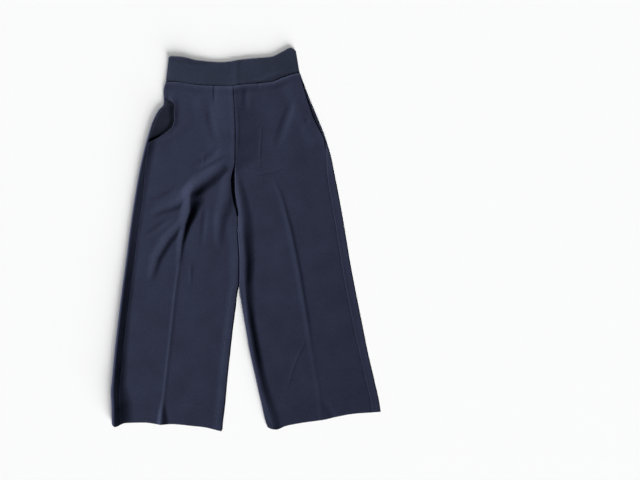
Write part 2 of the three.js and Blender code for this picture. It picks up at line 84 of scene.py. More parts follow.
# Grooves along the seams, and the puckers beside them
CENTRE_GROOVE = 0.2
WAIST_GROOVE = 1.7
SIDE_GROOVE_WIDTH = 2.2
CENTRE_GROOVE_WIDTH = 2.0
WAIST_GROOVE_WIDTH = 2.7
PUCKER_HEIGHT = 0.13
PUCKER_REACH = 7.0
WAIST_PUCKER_REACH = 9.0
FAR_FROM_SEAM = 99.0

# How unevenly the cloth lies, which is calmer beside the centre seam, and the ridge of the blind hem
BROAD_HEIGHT = 0.34
SMALL_HEIGHT = 0.16
CALM = 0.85
CALM_REACH = 26.0
HEM_RIDGE = 0.22
HEM_RIDGE_WIDTH = 3.5
HEM_EVENNESS = 0.6

# Cells of the noise, across and along, and how far the pressed marks reach from an edge and a crease: there
# the colour is lightened as a painted sheen and the roughness is lowered
BROAD_CELL = (95.0, 140.0)
SMALL_CELL = (34.0, 58.0)
PUCKER_CELL = (9.0, 15.0)
EDGE_SHINE = 3.5
CREASE_SHINE = 3.0
CREASE_SHINE_TOP = 20.0
CREASE_SHINE_FADE = 60.0

# An inseam at more than this many degrees round the rolled edge lies on top
ON_TOP_ANGLE = 89.9
QUARTER_TURN = math.pi / 2

Array = np.ndarray
Rows = dict[str, Array]
Triple = tuple[float, float, float]


class Side(Enum):
    """The wearer's side of a piece: the value is the direction of that side along X."""

    RIGHT = -1
    LEFT = 1


class Slot(Enum):
    """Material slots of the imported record."""

    CREPE = "navy_crepe"
    BAND = "navy_band"
    FACING = "pocket_facing"


def table(names: str, rows: list[tuple[float, ...]]) -> Rows:
    """Turns rows of numbers into named columns.

    Args:
        names: Names of the columns, separated by spaces.
        rows: One tuple for each row.

    Returns:
        An array for each name.
    """
    return {name: np.array(column, float) for name, column in zip(names.split(), zip(*rows))}


WAIST_SEAM = table("x y", [
    (-220, 434.5), (-198, 434.5), (-164, 429.5), (-131, 425.5), (-91, 423), (-45, 421),
    (-11, 426), (35, 430.5), (69, 434), (102, 446.5), (125, 454.5), (147, 459.5),
])
BAND_EDGE = table("x y", [
    (-214, 500.5), (-207, 503.5), (-181, 502), (-131, 491.5), (-68, 487), (-48, 488.5),
    (-15, 494), (35, 498.5), (69, 502), (102, 517), (122, 526.5), (136, 520),
])
RIGHT_HEM = table("x y", [
    (-368, -505), (-358, -513), (-331, -503.5), (-278, -503), (-234, -508), (-207, -507),
    (-149, -512), (-113, -516), (-83, -523), (-68, -526), (-64, -519),
])
LEFT_HEM = table("x y", [
    (59, -515), (70, -520), (82, -522), (110, -512), (148, -504.5), (217, -494.5),
    (258, -485), (302, -478), (340, -475.5), (370, -473),
])

# Outer side of each leg. edge is the outline, roll the height of the rolled edge, slope the width over
# which it falls to flat cloth and lap how far in from the outline the side seam lies.
RIGHT_SIDE = table("y edge roll slope lap", [
    (435, -220, 4.4, 12, 4), (406, -227, 4.6, 12, 4), (380, -226, 6, 12, 5), (370, -227, 6.8, 12, 5.5),
    (356, -239.5, 8, 12, 6), (323, -257, 9, 14, 6), (290, -267.5, 9.4, 22, 6), (257, -277, 9.4, 28, 8),
    (208, -288.5, 9.2, 30, 12), (158, -298, 9, 30, 18), (92, -309, 9, 30, 22),
    (26, -318.5, 9.2, 29, 22), (-56, -329, 10, 28, 22), (-139, -340.5, 11, 29, 22),
    (-221, -350.5, 11.4, 30, 22), (-304, -360, 12.4, 33, 22), (-386, -367.5, 14, 36, 22),
    (-419, -370, 16, 44, 22), (-452, -368.5, 17.6, 50, 22), (-510, -367.5, 16, 52, 22),
])
LEFT_SIDE = table("y edge roll slope lap", [
    (460, 146.6, 4.4, 12, 4), (422, 161, 4.4, 12, 4), (389, 173.5, 4.4, 12, 4), (356, 187.5, 4.6, 12, 4),
    (323, 201, 4.6, 12, 4), (290, 214.5, 4.8, 14, 4), (257, 225, 5, 16, 8), (224, 234.5, 5, 16, 14),
    (191, 241, 5, 16, 20), (125, 254, 5, 16, 24), (59, 266, 5, 16, 24), (-73, 288, 5, 16, 25),
    (-139, 300.5, 5, 16, 26), (-221, 317, 5, 16, 26), (-304, 333.5, 5, 16, 24), (-386, 352.5, 5, 16, 24),
    (-452, 367, 5.2, 16, 24), (-474, 370, 5.2, 16, 24),
])

# Inner side of both legs: the crotch seam, the gap below it, the line where the legs touch, then the two
# inner edges, which part. The rolls count below ROLL_START.
INNER = table("y right left roll_right roll_left", [
    (421, -36, -36, 4.2, 4.2), (408, -35, -35, 4.2, 4.2), (305, -30, -30, 4.2, 4.2),
    (205, -30.6, -30.6, 4.2, 4.2), (197, -32.4, -30.6, 4.2, 4.2), (182, -37.5, -30.6, 4.2, 4.2),
    (164, -39.8, -30.8, 4.2, 4.2), (136, -38.4, -30.6, 4.2, 4.2), (117, -35.8, -28.6, 4.2, 4.2),
    (100, -32.8, -24.4, 4.2, 4.2), (83, -28, -20.4, 4.2, 4.2), (66, -24.4, -21.4, 4.2, 4.2),
    (60, -23.2, -22.5, 4.2, 4.2), (56, -22.7, -22.4, 4.2, 4.3), (26, -23.6, -23.3, 5.2, 6),
    (-7, -21.2, -20.9, 6, 7.5), (-56, -18.2, -17.9, 6.4, 8), (-100, -18.4, -18.1, 6.4, 8),
    (-125, -19, -18.6, 6.4, 8), (-139, -22.5, -18, 6.4, 8), (-188, -28.5, -10.5, 6.2, 8),
    (-254, -37, 1, 6, 8), (-304, -42.5, 9.5, 6, 8), (-386, -51.4, 27.5, 6, 7),
    (-452, -57.2, 42.4, 6, 7), (-500, -63, 53.5, 5.8, 6), (-518, -64.6, 60, 5.8, 6),
])

# How far round the rolled inner edge the inseam lies, and how far in past the roll
INSEAM = table("y angle past", [
    (58, 0, 0), (42, 45, 0), (28, 90, 0.8), (-60, 90, 7), (-160, 90, 17), (-520, 90, 17),
])

# Pocket mouths: how far the front's free edge gapes away from the side seam, and how high it stands
RIGHT_MOUTH = table("y gape lift", [
    (418, 0, 0), (388, 0, 0.8), (384, 9, 0.8), (378, 20, 0.8), (366, 28.5, 0.8), (356, 36.5, 0.8),
    (342, 45, 0.8), (323, 54, 0.8), (312, 54, 0.8), (300, 47, 0.7), (287, 34, 0.6), (274, 14, 0.6),
    (264, 0, 0.6), (236, 0, 0),
])
LEFT_MOUTH = table("y gape lift", [
    (446, 0, 0), (424, 0.5, 1.6), (370, 5, 1.8), (334, 7.5, 1.8), (298, 4.5, 1.8), (268, 0, 1.6),
    (242, 0, 0),
])

# The middle column of each front follows its crease, from the waist seam into the main fold and to the hem
RIGHT_GUIDE = table("y x", [
    (421, -128), (300, -122), (215, -110), (163, -117), (133, -144), (105, -152.5), (77, -154),
    (41, -166), (-7, -176), (-55, -182), (-144, -195), (-240, -205), (-438, -227), (-512, -234),
])
LEFT_GUIDE = table("y x", [
    (440, 50), (300, 58), (172, 74), (117, 98), (26, 123), (-84, 145), (-216, 167), (-290, 177),
    (-414, 198), (-498, 209),
])

# The waistband's sides, on the waist seam and at the top edge
LOW_LEFT, HIGH_LEFT, LOW_RIGHT, HIGH_RIGHT = 146.6, 136.5, -220.3, -212.5


def lerp(a: Array | float, b: Array | float, share: Array | float) -> Array | float:
    """Goes from a to b as share goes from 0 to 1."""
    return a + (b - a) * share


def swell(share: Array) -> Array:
    """Is 1 on a crest and falls smoothly to 0 where share is 1."""
    return np.where(share >= 1, 0.0, 0.5 + 0.5 * np.cos(np.pi * np.clip(share, 0, 1)))


def crest(share: Array, sharp: Array | float) -> Array:
    """Is swell where sharp is 0, and falls steeply right from the crest where it is 1."""
    return lerp(swell(share), np.clip(1 - share, 0, 1) ** 2, sharp)


def near(distance: Array, width: float) -> Array:
    """Is 1 on a line and fades to nearly nothing at twice the width from it."""
    return np.exp(-(distance / width) ** 2)


class Curve:
    """A smooth curve through a table's points that never overshoots them."""

    def __init__(self, at: Array, value: Array) -> None:
        """Keeps the points in rising order, with the slope at each.

        Args:
            at: Where the points are.
            value: Their values.
        """
        order = np.argsort(at)
        self.at, self.value = np.asarray(at, float)[order], np.asarray(value, float)[order]
        steps = np.diff(self.value) / np.diff(self.at)
        before, after = steps[:-1], steps[1:]
        total = np.where(before * after > 0, before + after, 1.0)
        inner = np.where(before * after > 0, 2 * before * after / total, 0.0)
        self.slopes = np.concatenate([steps[:1], inner, steps[-1:]])

    def __call__(self, at: Array | float) -> Array:
        """Gives the curve's value, held at the ends.

        Args:
            at: Where to read it.

        Returns:
            Its value at each place.
        """
        t = np.clip(at, self.at[0], self.at[-1])
        i = np.clip(np.searchsorted(self.at, t, side="right") - 1, 0, len(self.at) - 2)
        width = self.at[i + 1] - self.at[i]
        s = (t - self.at[i]) / width
        bend = width * s * (1 - s) * ((1 - s) * self.slopes[i] - s * self.slopes[i + 1])
        return lerp(self.value[i], self.value[i + 1], s * s * (3 - 2 * s)) + bend


class Noise:
    """Smooth, repeatable noise between -1 and 1, from a lattice of seeded values."""

    CELLS = 97

    def __init__(self, seed: int, across: float, along: float) -> None:
        """Makes the lattice.

        Args:
            seed: Seed of the values.
            across: Size of a cell along X.
            along: Size of a cell along Y.
        """
        self.values = np.random.default_rng(seed).uniform(-1, 1, (self.CELLS, self.CELLS))
        self.across, self.along = across, along

    def __call__(self, x: Array, y: Array) -> Array:
        """Gives the noise at points.

        Args:
            x: Where they are across.
            y: Where they are along.

        Returns:
            The noise at each.
        """
        u, v = np.broadcast_arrays(x / self.across, y / self.along)
        i, j = np.floor(u).astype(int), np.floor(v).astype(int)
        s, t = u - i, v - j
        s, t = s * s * (3 - 2 * s), t * t * (3 - 2 * t)
        low, high = (
            lerp(self.corner(i, j + step), self.corner(i + 1, j + step), s) for step in (0, 1))
        return lerp(low, high, t)

    def corner(self, i: Array, j: Array) -> Array:
        """Gives the lattice's values at whole cells."""
        return self.values[i % self.CELLS, j % self.CELLS]


@dataclass(frozen=True)
class Fold:
    """A ridge along a line of points, or a trough where its height is negative.

    Each row is x, y, height, and the widths of its two slopes: east, towards +X on a line that runs down,
    and west.
    """

    rows: tuple[tuple[float, ...], ...]
    sharp_east: float = 0.0
    sharp_west: float = 0.0

    def height(self, x: Array, y: Array) -> Array:
        """Gives the fold's height at points.

        Args:
            x: Where they are across.
            y: Where they are along.

        Returns:
            The height at each, 0 where the fold doesn't reach.
        """
        rows = np.array(self.rows, float)
        reach = rows[:, 3:].max()
        low, high = rows[:, :2].min(0) - reach, rows[:, :2].max(0) + reach
        inside = (x > low[0]) & (x < high[0]) & (y > low[1]) & (y < high[1])
        px, py = x[inside], y[inside]
        best = np.full(px.shape, np.inf)
        found = np.zeros(px.shape)
        for a, b in zip(rows[:-1], rows[1:]):
            dx, dy = b[0] - a[0], b[1] - a[1]
            s = np.clip(((px - a[0]) * dx + (py - a[1]) * dy) / (dx * dx + dy * dy), 0, 1)
            off_x, off_y = px - a[0] - s * dx, py - a[1] - s * dy
            gap = np.hypot(off_x, off_y)
            east = dx * off_y - dy * off_x > 0
            share = gap / np.where(east, lerp(a[3], b[3], s), lerp(a[4], b[4], s))
            sharp = np.where(east, self.sharp_east, self.sharp_west)
            found = np.where(gap < best, lerp(a[2], b[2], s) * crest(share, sharp), found)
            best = np.minimum(gap, best)
        out = np.zeros(x.shape)
        out[inside] = found
        return out


def fold(*rows: tuple[float, ...], east: float = 0.0, west: float = 0.0) -> Fold:
    """Makes a fold. A row with one width has it on both slopes; east and west say how sharp those are."""
    return Fold(tuple(row if len(row) == 5 else (*row, row[3]) for row in rows), east, west)


def blended(folds: list[Fold], x: Array, y: Array) -> Array:
    """Gives the height of folds that blend into one another where they meet, instead of adding up."""
    return np.cbrt(sum(f.height(x, y) ** 3 for f in folds))


def added(folds: list[Fold], x: Array, y: Array) -> Array:
    """Gives the summed height of small ridges and troughs."""
    return sum((f.height(x, y) for f in folds), np.zeros(np.shape(x)))


# Large folds, as in the part's source, with sharper crests where the cloth is pressed or pulled
CENTRE_FOLD = fold(
    (-36, 421, 3.8, 84), (-31, 360, 5.8, 92, 94), (-30, 290, 6.4, 92, 98), (-31, 230, 4.8, 80, 74),
    (-34, 180, 0, 10), east=0.7)
RIGHT_FOLDS = [
    # the main fold from the crotch, which fades towards the side
    fold((-47, 219, 0, 18, 20), (-73, 192, 3.4, 26), (-101, 170, 5.6, 30), (-126, 152, 6.4, 30, 34),
         (-144, 133, 6.3, 28, 34), (-162, 117, 4.6, 20, 30), (-185, 97, 3.2, 17, 26),
         (-207, 89, 2.6, 16, 24), (-235, 80, 1.9, 15, 22), (-265, 66, 0, 12, 14)),
    # the crest that turns down from it into the pressed crease
    fold((-143, 140, 6.6, 38, 30), (-151, 126, 9.6, 42, 34), (-152.5, 105, 10, 42, 35),
         (-154, 77, 7.8, 24, 31), (-166, 41, 5.6, 16, 26), (-176, -7, 3, 11, 18), (-182, -55, 1.4, 9, 14),
         (-186, -80, 0, 8, 12), east=0.5, west=0.2),
    # the fold that branches from the crest towards the side
    fold((-166, 58, 1.4, 12, 18), (-171, 49, 2.2, 14, 20), (-193, 21, 3, 16, 24), (-213, -2, 3.3, 17, 26),
         (-230, -29, 3.3, 17, 26), (-243, -52, 3, 16, 26), (-253, -86, 1.9, 15, 22),
         (-264, -120, 0, 12, 14), east=0.3),
    # the fold beside the gap at the crotch
    fold((-46, 186, 0, 14, 20), (-46, 169, 2.2, 20, 26), (-50, 120, 2.8, 26, 32), (-62, 87, 2.8, 30, 26),
         (-71, 59, 2.6, 24, 22), (-74, 21, 2, 20, 18), (-75, -29, 0, 16, 14)),
    # the pressed crease
    fold((-175, -7, 0, 9), (-183, -60, 0.8, 10, 6), (-195, -144, 1, 11, 6), (-205, -240, 1, 11, 6),
         (-227, -438, 0.9, 10, 6), (-234, -512, 0.9, 10, 6), east=0.7, west=0.5),
    # the cloth that stands up beside the crease at the hem
    fold((-227, -436, 0, 6), (-231, -468, 3, 14, 10), (-234, -514, 7, 28, 14), east=0.3),
]
LEFT_FOLDS = [
    # the pressed crease, fading below the knee
    fold((74, 172, 0, 10), (98, 117, 1.3, 11, 14), (123, 26, 2, 11, 16), (145, -84, 2, 11, 16),
         (167, -216, 1.6, 11, 14), (177, -290, 0.8, 11, 12), (198, -414, 0.6, 11, 12),
         (209, -498, 0.6, 11, 12), east=0.9, west=0.5),
    # the rounded fold along the inner edge
    fold((-27, 186, 0, 10, 6), (-15, 110, 3.4, 24, 14), (-9, 68, 4, 28, 16), (-6, 26, 4.4, 30, 18),
         (1, -56, 4.6, 26, 20), (0, -110, 4.2, 24, 18), (2, -165, 3, 24, 12), (8, -225, 3, 22, 12),
         (19, -290, 3, 22, 14), (30, -345, 2.6, 22, 14), (42, -400, 2.4, 22, 14), (67, -474, 3, 22, 18),
         (78, -512, 2.4, 20, 16)),
]
BAND_FOLDS = [
    fold((-208, 499, 2, 14, 12), (-165, 496, 3.2, 18, 16), (-120, 488, 1.5, 16, 14), (-92, 486, 0, 12)),
]

# Small creases that only the finished cloth shows
RIGHT_CREASES = [
    # the edge that stands a little over the left leg's along the centre seam
    fold((-36, 421, 0.8, 3, 16), (-35, 408, 0.8, 3, 16), (-30, 305, 0.8, 3, 16),
         (-30.6, 208, 0.8, 3, 14)),
    # the front falls away from the pocket's mouth
    fold((-208, 396, 0, 10, 8), (-200, 380, 2.2, 19, 8), (-199, 345, 2.8, 20, 8), (-200, 320, 2.4, 19, 8),
         (-212, 303, 1.4, 13, 8), (-234, 287, 1, 11, 8), (-253, 276, 0, 8), east=0.9),
    # the dart and the cloth that it shapes
    fold((-88.6, 424, -1.0, 16, 2.6), (-88.6, 389, -0.9, 16, 2.6), (-88, 374, 0, 8, 2.6)),
    # the soft bulge beside the pocket, and the trough behind it
    fold((-118, 402, 0, 24, 18), (-122, 372, 0.9, 30), (-120, 330, 0.8, 30), (-112, 290, 0, 24, 20)),
    fold((-104, 370, 0, 12), (-99, 335, -1.1, 16), (-88, 290, -0.8, 18, 16), (-76, 255, 0, 12)),
    # streaks that run down to the main fold
    fold((-116, 244, 0, 5), (-116, 222, 0.6, 6), (-118, 194, 0, 5)),
    fold((-70, 262, 0, 12), (-88, 236, -0.9, 14), (-118, 214, -0.8, 14), (-150, 196, 0, 12)),
    fold((-56, 240, 0, 8), (-76, 222, 0.7, 9), (-104, 206, 0.6, 9), (-132, 190, 0, 8)),
    # small drags beside the main fold
    fold((-186, 150, 0, 12), (-206, 128, -0.9, 14), (-236, 112, -0.8, 14), (-268, 104, 0, 10)),
    fold((-204, 62, 0, 10), (-232, 40, -0.9, 12), (-262, 18, -0.6, 12), (-284, 2, 0, 10)),
    fold((-110, 96, 0, 10), (-114, 60, -1.0, 12), (-118, 20, -0.8, 12), (-124, -28, 0, 10)),
    # a short ridge below it
    fold((-152, -58, 0, 6), (-152, -80, 0.8, 7), (-152, -112, 0.6, 7), (-153, -132, 0, 6)),
    # dimples of the blind hem
    fold((-183, -463, -0.3, 5), (-171, -464, -0.3, 5)),
    fold((-174, -450, -0.4, 5), (-150, -452, -0.2, 5), (-113, -456, -0.4, 5)),
]
LEFT_CREASES = [
    # the edge of the allowance that is pressed under the centre seam
    fold((-25, 380, 0, 5, 8), (-21, 340, 0.3, 5, 8), (-20, 300, 0.4, 5, 8), (-21, 262, 0.3, 5, 8),
         (-24, 232, 0, 5, 6), east=0.5),
    # the dart, which only nicks the waist seam, and the soft trough beside it
    fold((32.5, 436, -1.1, 12, 2.6), (32, 425, -0.9, 12, 2.6), (31, 414, 0, 8, 2.6)),
    fold((0, 424, 0, 12), (-0.5, 400, -0.9, 15, 14), (-1, 372, -0.7, 15, 14), (-2, 348, 0, 12)),
    # the pocket bag's edge and its curved bottom, pressed through
    fold((43, 316, 0, 3.5), (41, 286, 0.45, 4), (38, 232, 0.5, 4), (36, 182, 0, 3.5)),
    fold((-6, 206, 0, 5), (8, 188, 0.45, 5, 6), (30, 177.5, 0.5, 5, 6), (57, 182, 0.5, 5, 6),
         (86, 190, 0.4, 5, 6), (112, 201, 0, 5), west=0.4),
    fold((43.5, 170, 0.35, 4), (43.5, 152, 0, 4)),
    # the trough that runs down from the pocket
    fold((128, 380, 0, 14), (120, 362, -0.8, 16), (104, 318, -1.3, 18, 17), (92, 280, -0.8, 17, 16),
         (82, 250, 0, 14)),
    fold((140, 392, 0, 14), (136, 350, 0.7, 34, 16), (120, 300, 0.7, 34, 16), (108, 262, 0, 20, 14)),
    fold((162, 336, 0, 9), (167, 326, -0.9, 10), (169, 314, 0, 9)),
    # pressed marks down the leg
    fold((168, -262, 0, 4), (156, -293, 0.5, 4.5), (145, -315, 0.6, 4.5), (134, -340, 0.6, 4.5),
         (121, -384, 0.4, 4.5), (106, -428, 0, 4)),
    fold((206, -440, 0, 12), (226, -466, -1.2, 16, 14), (238, -484, -1.4, 16, 14),
         (246, -500, -0.8, 14, 12)),
]
BAND_CREASES = [
    # the pressed ridge beside the middle
    fold((-26, 500, 0.3, 12, 18), (-25, 486, 0.5, 12, 18), (-25, 450, 0.5, 12, 18),
         (-25, 418, 0.4, 12, 18)),
    fold((-66, 482, -0.5, 6), (-56, 475, -0.4, 6)),
    # ripples under the top edge
    fold((2, 500, 0.6, 5), (4, 486, 0.2, 5)),
    fold((17, 502, 0.6, 5), (19, 488, 0.2, 5)),
    fold((33, 503, 0.6, 5), (34, 489, 0.2, 5)),
    # a soft ridge above the waist seam
    fold((36, 437, 0, 8), (58, 444, 0.7, 9), (84, 453, 0.7, 9), (106, 462, 0, 8)),
    fold((-200, 462, 0, 12), (-150, 459, -0.5, 15), (-96, 454, -0.4, 15), (-60, 452, 0, 12)),
]


def seam_height(below: Array) -> Array:
    """Gives the rise of the allowance that is pressed down under the waist seam.

    Args:
        below: Distances below the seam.

    Returns:
        The rise at each.
    """
    rising = lerp(ALLOWANCE_AT_SEAM, ALLOWANCE_CREST, np.clip(below / ALLOWANCE_CREST_BELOW, 0, 1))
    falling = (below - ALLOWANCE_CREST_BELOW) / (ALLOWANCE_END_BELOW - ALLOWANCE_CREST_BELOW)
    return np.where(below < ALLOWANCE_CREST_BELOW, rising, ALLOWANCE_CREST * swell(falling))


WAIST = Curve(WAIST_SEAM["x"], WAIST_SEAM["y"])
BAND_TOP_EDGE = Curve(BAND_EDGE["x"], BAND_EDGE["y"])
INSEAM_ANGLE = Curve(INSEAM["y"], INSEAM["angle"])
INSEAM_PAST = Curve(INSEAM["y"], INSEAM["past"])
CROTCH_MIDDLE = Curve(INNER["y"], (INNER["right"] + INNER["left"]) / 2)


@dataclass
class Leg:
    """One leg: its outline, its rolled edges, the folds of its top face and its small creases."""

    side: Side
    side_rows: Rows
    mouth_rows: Rows
    hem_rows: Rows
    guide_rows: Rows
    folds: list[Fold]
    creases: list[Fold]
    seed: int
    side_groove: float
    hem_stitch: float = 50.0

    def __post_init__(self) -> None:
        """Makes the curves from the tables."""
        name = self.side.name.lower()
        at, rows = self.side_rows["y"], self.side_rows
        self.sign = self.side.value
        self.inward = -self.sign
        self.outer, self.outer_roll = Curve(at, rows["edge"]), Curve(at, rows["roll"])
        self.outer_slope, self.lap = Curve(at, rows["slope"]), Curve(at, rows["lap"])
        self.inner = Curve(INNER["y"], INNER[name])
        self.inner_roll = Curve(INNER["y"], INNER["roll_" + name])
        self.gape = Curve(self.mouth_rows["y"], self.mouth_rows["gape"])
        self.lift = Curve(self.mouth_rows["y"], self.mouth_rows["lift"])
        self.hem = Curve(self.hem_rows["x"], self.hem_rows["y"])
        self.guide = Curve(self.guide_rows["y"], self.guide_rows["x"])
        self.broad, self.small, self.pucker = (
            Noise(self.seed + i, *cell) for i, cell in enumerate((BROAD_CELL, SMALL_CELL, PUCKER_CELL)))

    def relief(self, x: Array, y: Array) -> Array:
        """Gives the small creases, the puckers along the seams and the uneven lie of the cloth.

        Args:
            x: Where points are across.
            y: Where they are along.

        Returns:
            How far each point stands above the large forms.
        """
        from_side = np.abs(self.sign * (self.outer(y) - x) - self.lap(y) - self.gape(y))
        from_centre = np.where(y > SLIT_TOP, np.abs(x - self.inner(y)), FAR_FROM_SEAM)
        from_waist = WAIST(x) - y
        from_hem = np.abs(y - self.hem(x) - self.hem_stitch)
        seams = near(from_side, PUCKER_REACH) + near(from_centre, PUCKER_REACH)
        seams = np.clip(seams + near(from_waist, WAIST_PUCKER_REACH), 0, 1)
        puckers = PUCKER_HEIGHT * seams * self.pucker(x, y)
        groove = self.side_groove * near(from_side, SIDE_GROOVE_WIDTH)
        groove = groove + CENTRE_GROOVE * near(from_centre, CENTRE_GROOVE_WIDTH)
        groove = groove + WAIST_GROOVE * near(from_waist, WAIST_GROOVE_WIDTH)
        uneven = BROAD_HEIGHT * self.broad(x, y) + SMALL_HEIGHT * self.small(x, y)
        uneven = uneven * (1 - CALM * near(from_centre, CALM_REACH))
        stitched = lerp(self.small(x * 2, y), 1.0, HEM_EVENNESS)
        hem = HEM_RIDGE * near(from_hem, HEM_RIDGE_WIDTH) * stitched
        return added(self.creases, x, y) + uneven + puckers + hem - groove

    def top(self, x: Array, y: Array) -> Array:
        """Gives the height of the leg's top face, with its rolled edges, folds and creases.

        Args:
            x: Where points are across.
            y: Where they are along.

        Returns:
            The height at each.
        """
        from_outer = self.sign * (self.outer(y) - x)
        from_inner = self.sign * (x - self.inner(y))
        outer_roll, inner_roll = self.outer_roll(y), self.inner_roll(y)
        height = FLAT_TOP + blended([CENTRE_FOLD, *self.folds], x, y) + seam_height(WAIST(x) - y)
        fall = (from_outer - outer_roll / 2) / self.outer_slope(y)
        height = height + (outer_roll - FLAT_TOP) * crest(fall, ROLL_SHARP)
        rolled = (inner_roll - FLAT_TOP) * swell((from_inner - inner_roll / 2) / INNER_SLOPE)
        return height + np.where(y < ROLL_START, rolled, 0) + self.relief(x, y)

    def front_top(self, x: Array, y: Array) -> Array:
        """Gives the top face of the front panel, which stands up along the mouth of its pocket."""
        from_mouth = self.sign * (self.outer(y) - x) - self.lap(y) - self.gape(y)
        return self.top(x, y) + self.lift(y) * swell((from_mouth - MOUTH_FLAT) / MOUTH_SLOPE)

    def inner_edge(self, y: Array) -> tuple[Array, Array, Array]:
        """Gives where the inseam or crotch seam lies on the rolled inner edge.

        Args:
            y: Heights along the leg.

        Returns:
            The roll's radius, the seam's angle round it, and how far past the roll's top it lies.
        """
        radius = self.inner_roll(y) / 2
        angle = np.where(y >= SLIT_TOP, 90.0, INSEAM_ANGLE(y))
        on_top = angle > ON_TOP_ANGLE
        past = np.where(y >= SLIT_TOP, -radius, np.where(on_top, INSEAM_PAST(y), 0))
        return radius, np.radians(angle), past


RIGHT_LEG = Leg(
    Side.RIGHT, RIGHT_SIDE, RIGHT_MOUTH, RIGHT_HEM, RIGHT_GUIDE, RIGHT_FOLDS, RIGHT_CREASES,
    seed=11, side_groove=0.05)
LEFT_LEG = Leg(
    Side.LEFT, LEFT_SIDE, LEFT_MOUTH, LEFT_HEM, LEFT_GUIDE, LEFT_FOLDS, LEFT_CREASES,
    seed=29, side_groove=0.3)


@dataclass
class Spots:
    """Where points of a panel lie: across the leg, and how far round a rolled edge."""

    x: Array
    crown_x: Array
    lean: Array
    radius: Array

    def height(self, crown: Array) -> Array:
        """Gives heights: the crown's where lean is 1, the roll's middle at 0 and the floor at -1."""
        return np.where(self.lean > 0, lerp(self.radius, crown, self.lean), self.radius * (1 + self.lean))


def flat_spots(x: Array, lean: float) -> Spots:
    """Gives points on the top face, where lean is 1, or on the floor, where it is -1."""
    return Spots(x, x, np.full(np.shape(x), lean), np.zeros(np.shape(x)))


def rolled(edge: Array, out: int, radius: Array, angle: Array, on_top: Array, inset: Array) -> Spots:
    """Gives points on a rolled edge, and on the cloth that lies flat beside it.

    Args:
        edge: x of the outline.
        out: Direction from the cloth to the outline, along X.
        radius: Radius of the roll.
        angle: Where points lie round the roll, from a quarter turn on top to minus that on the floor.
        on_top: Which points lie on the flat cloth instead.
        inset: How far in from the roll's middle those lie.

    Returns:
        The points.
    """
    centre = edge - out * radius
    flat_x, round_x = centre - out * inset, centre + out * radius * np.cos(angle)
    lean = np.where(on_top, 1.0, np.sin(angle))
    return Spots(np.where(on_top, flat_x, round_x), np.where(on_top, flat_x, centre), lean, radius)


def wrapped(
        edge: Array, out: int, radius: Array, away: Array, flat: Array,
        turn: Array | float = QUARTER_TURN) -> Spots:
    """Gives points on cloth that runs from a seam over a rolled edge to the floor.

    Args:
        edge: x of the outline.
        out: Direction from the cloth to the outline, along X.
        radius: Radius of the roll.
        away: Distance from the seam, along the cloth.
        flat: How much of the cloth lies flat before it starts round the roll.
        turn: Angle where it starts.

    Returns:
        The points.
    """
    angle = np.clip(turn - (away - flat) / radius, -QUARTER_TURN, QUARTER_TURN)
    return rolled(edge, out, radius, angle, away < flat, flat - away)


Line = Callable[[Array], Spots]


def spaced_rows(top: Array, bottom: Array, edge: tuple[float, ...], step: float) -> Array:
    """Spaces rows from a top to a bottom edge, close together at both.

    Args:
        top: Height of the top edge.
        bottom: Height of the bottom edge.
        edge: Distances of the close rows from each edge.
        step: Distance between the rows in between.

    Returns:
        Heights of the rows, from the top down.
    """
    count = max(int((top - bottom) / step), 2)
    middle = lerp(top - edge[-1], bottom + edge[-1], np.linspace(0, 1, count))[1:-1]
    return np.concatenate([top - np.array(edge), middle, bottom + np.array(edge[::-1])])


def edge_distance(grid: Array) -> Array:
    """Gives how far each point of a grid lies from the nearest edge, along the grid's own lines.

    Args:
        grid: The points, by column and row.

    Returns:
        A distance for each point.
    """
    across = np.linalg.norm(np.diff(grid, axis=0), axis=2).cumsum(axis=0)
    along = np.linalg.norm(np.diff(grid, axis=1), axis=2).cumsum(axis=1)
    first_column = np.concatenate([np.zeros((1, grid.shape[1])), across])
    first_row = np.concatenate([np.zeros((grid.shape[0], 1)), along], axis=1)
    to_columns = np.minimum(first_column, first_column[-1:] - first_column)
    return np.minimum(to_columns, np.minimum(first_row, first_row[:, -1:] - first_row))


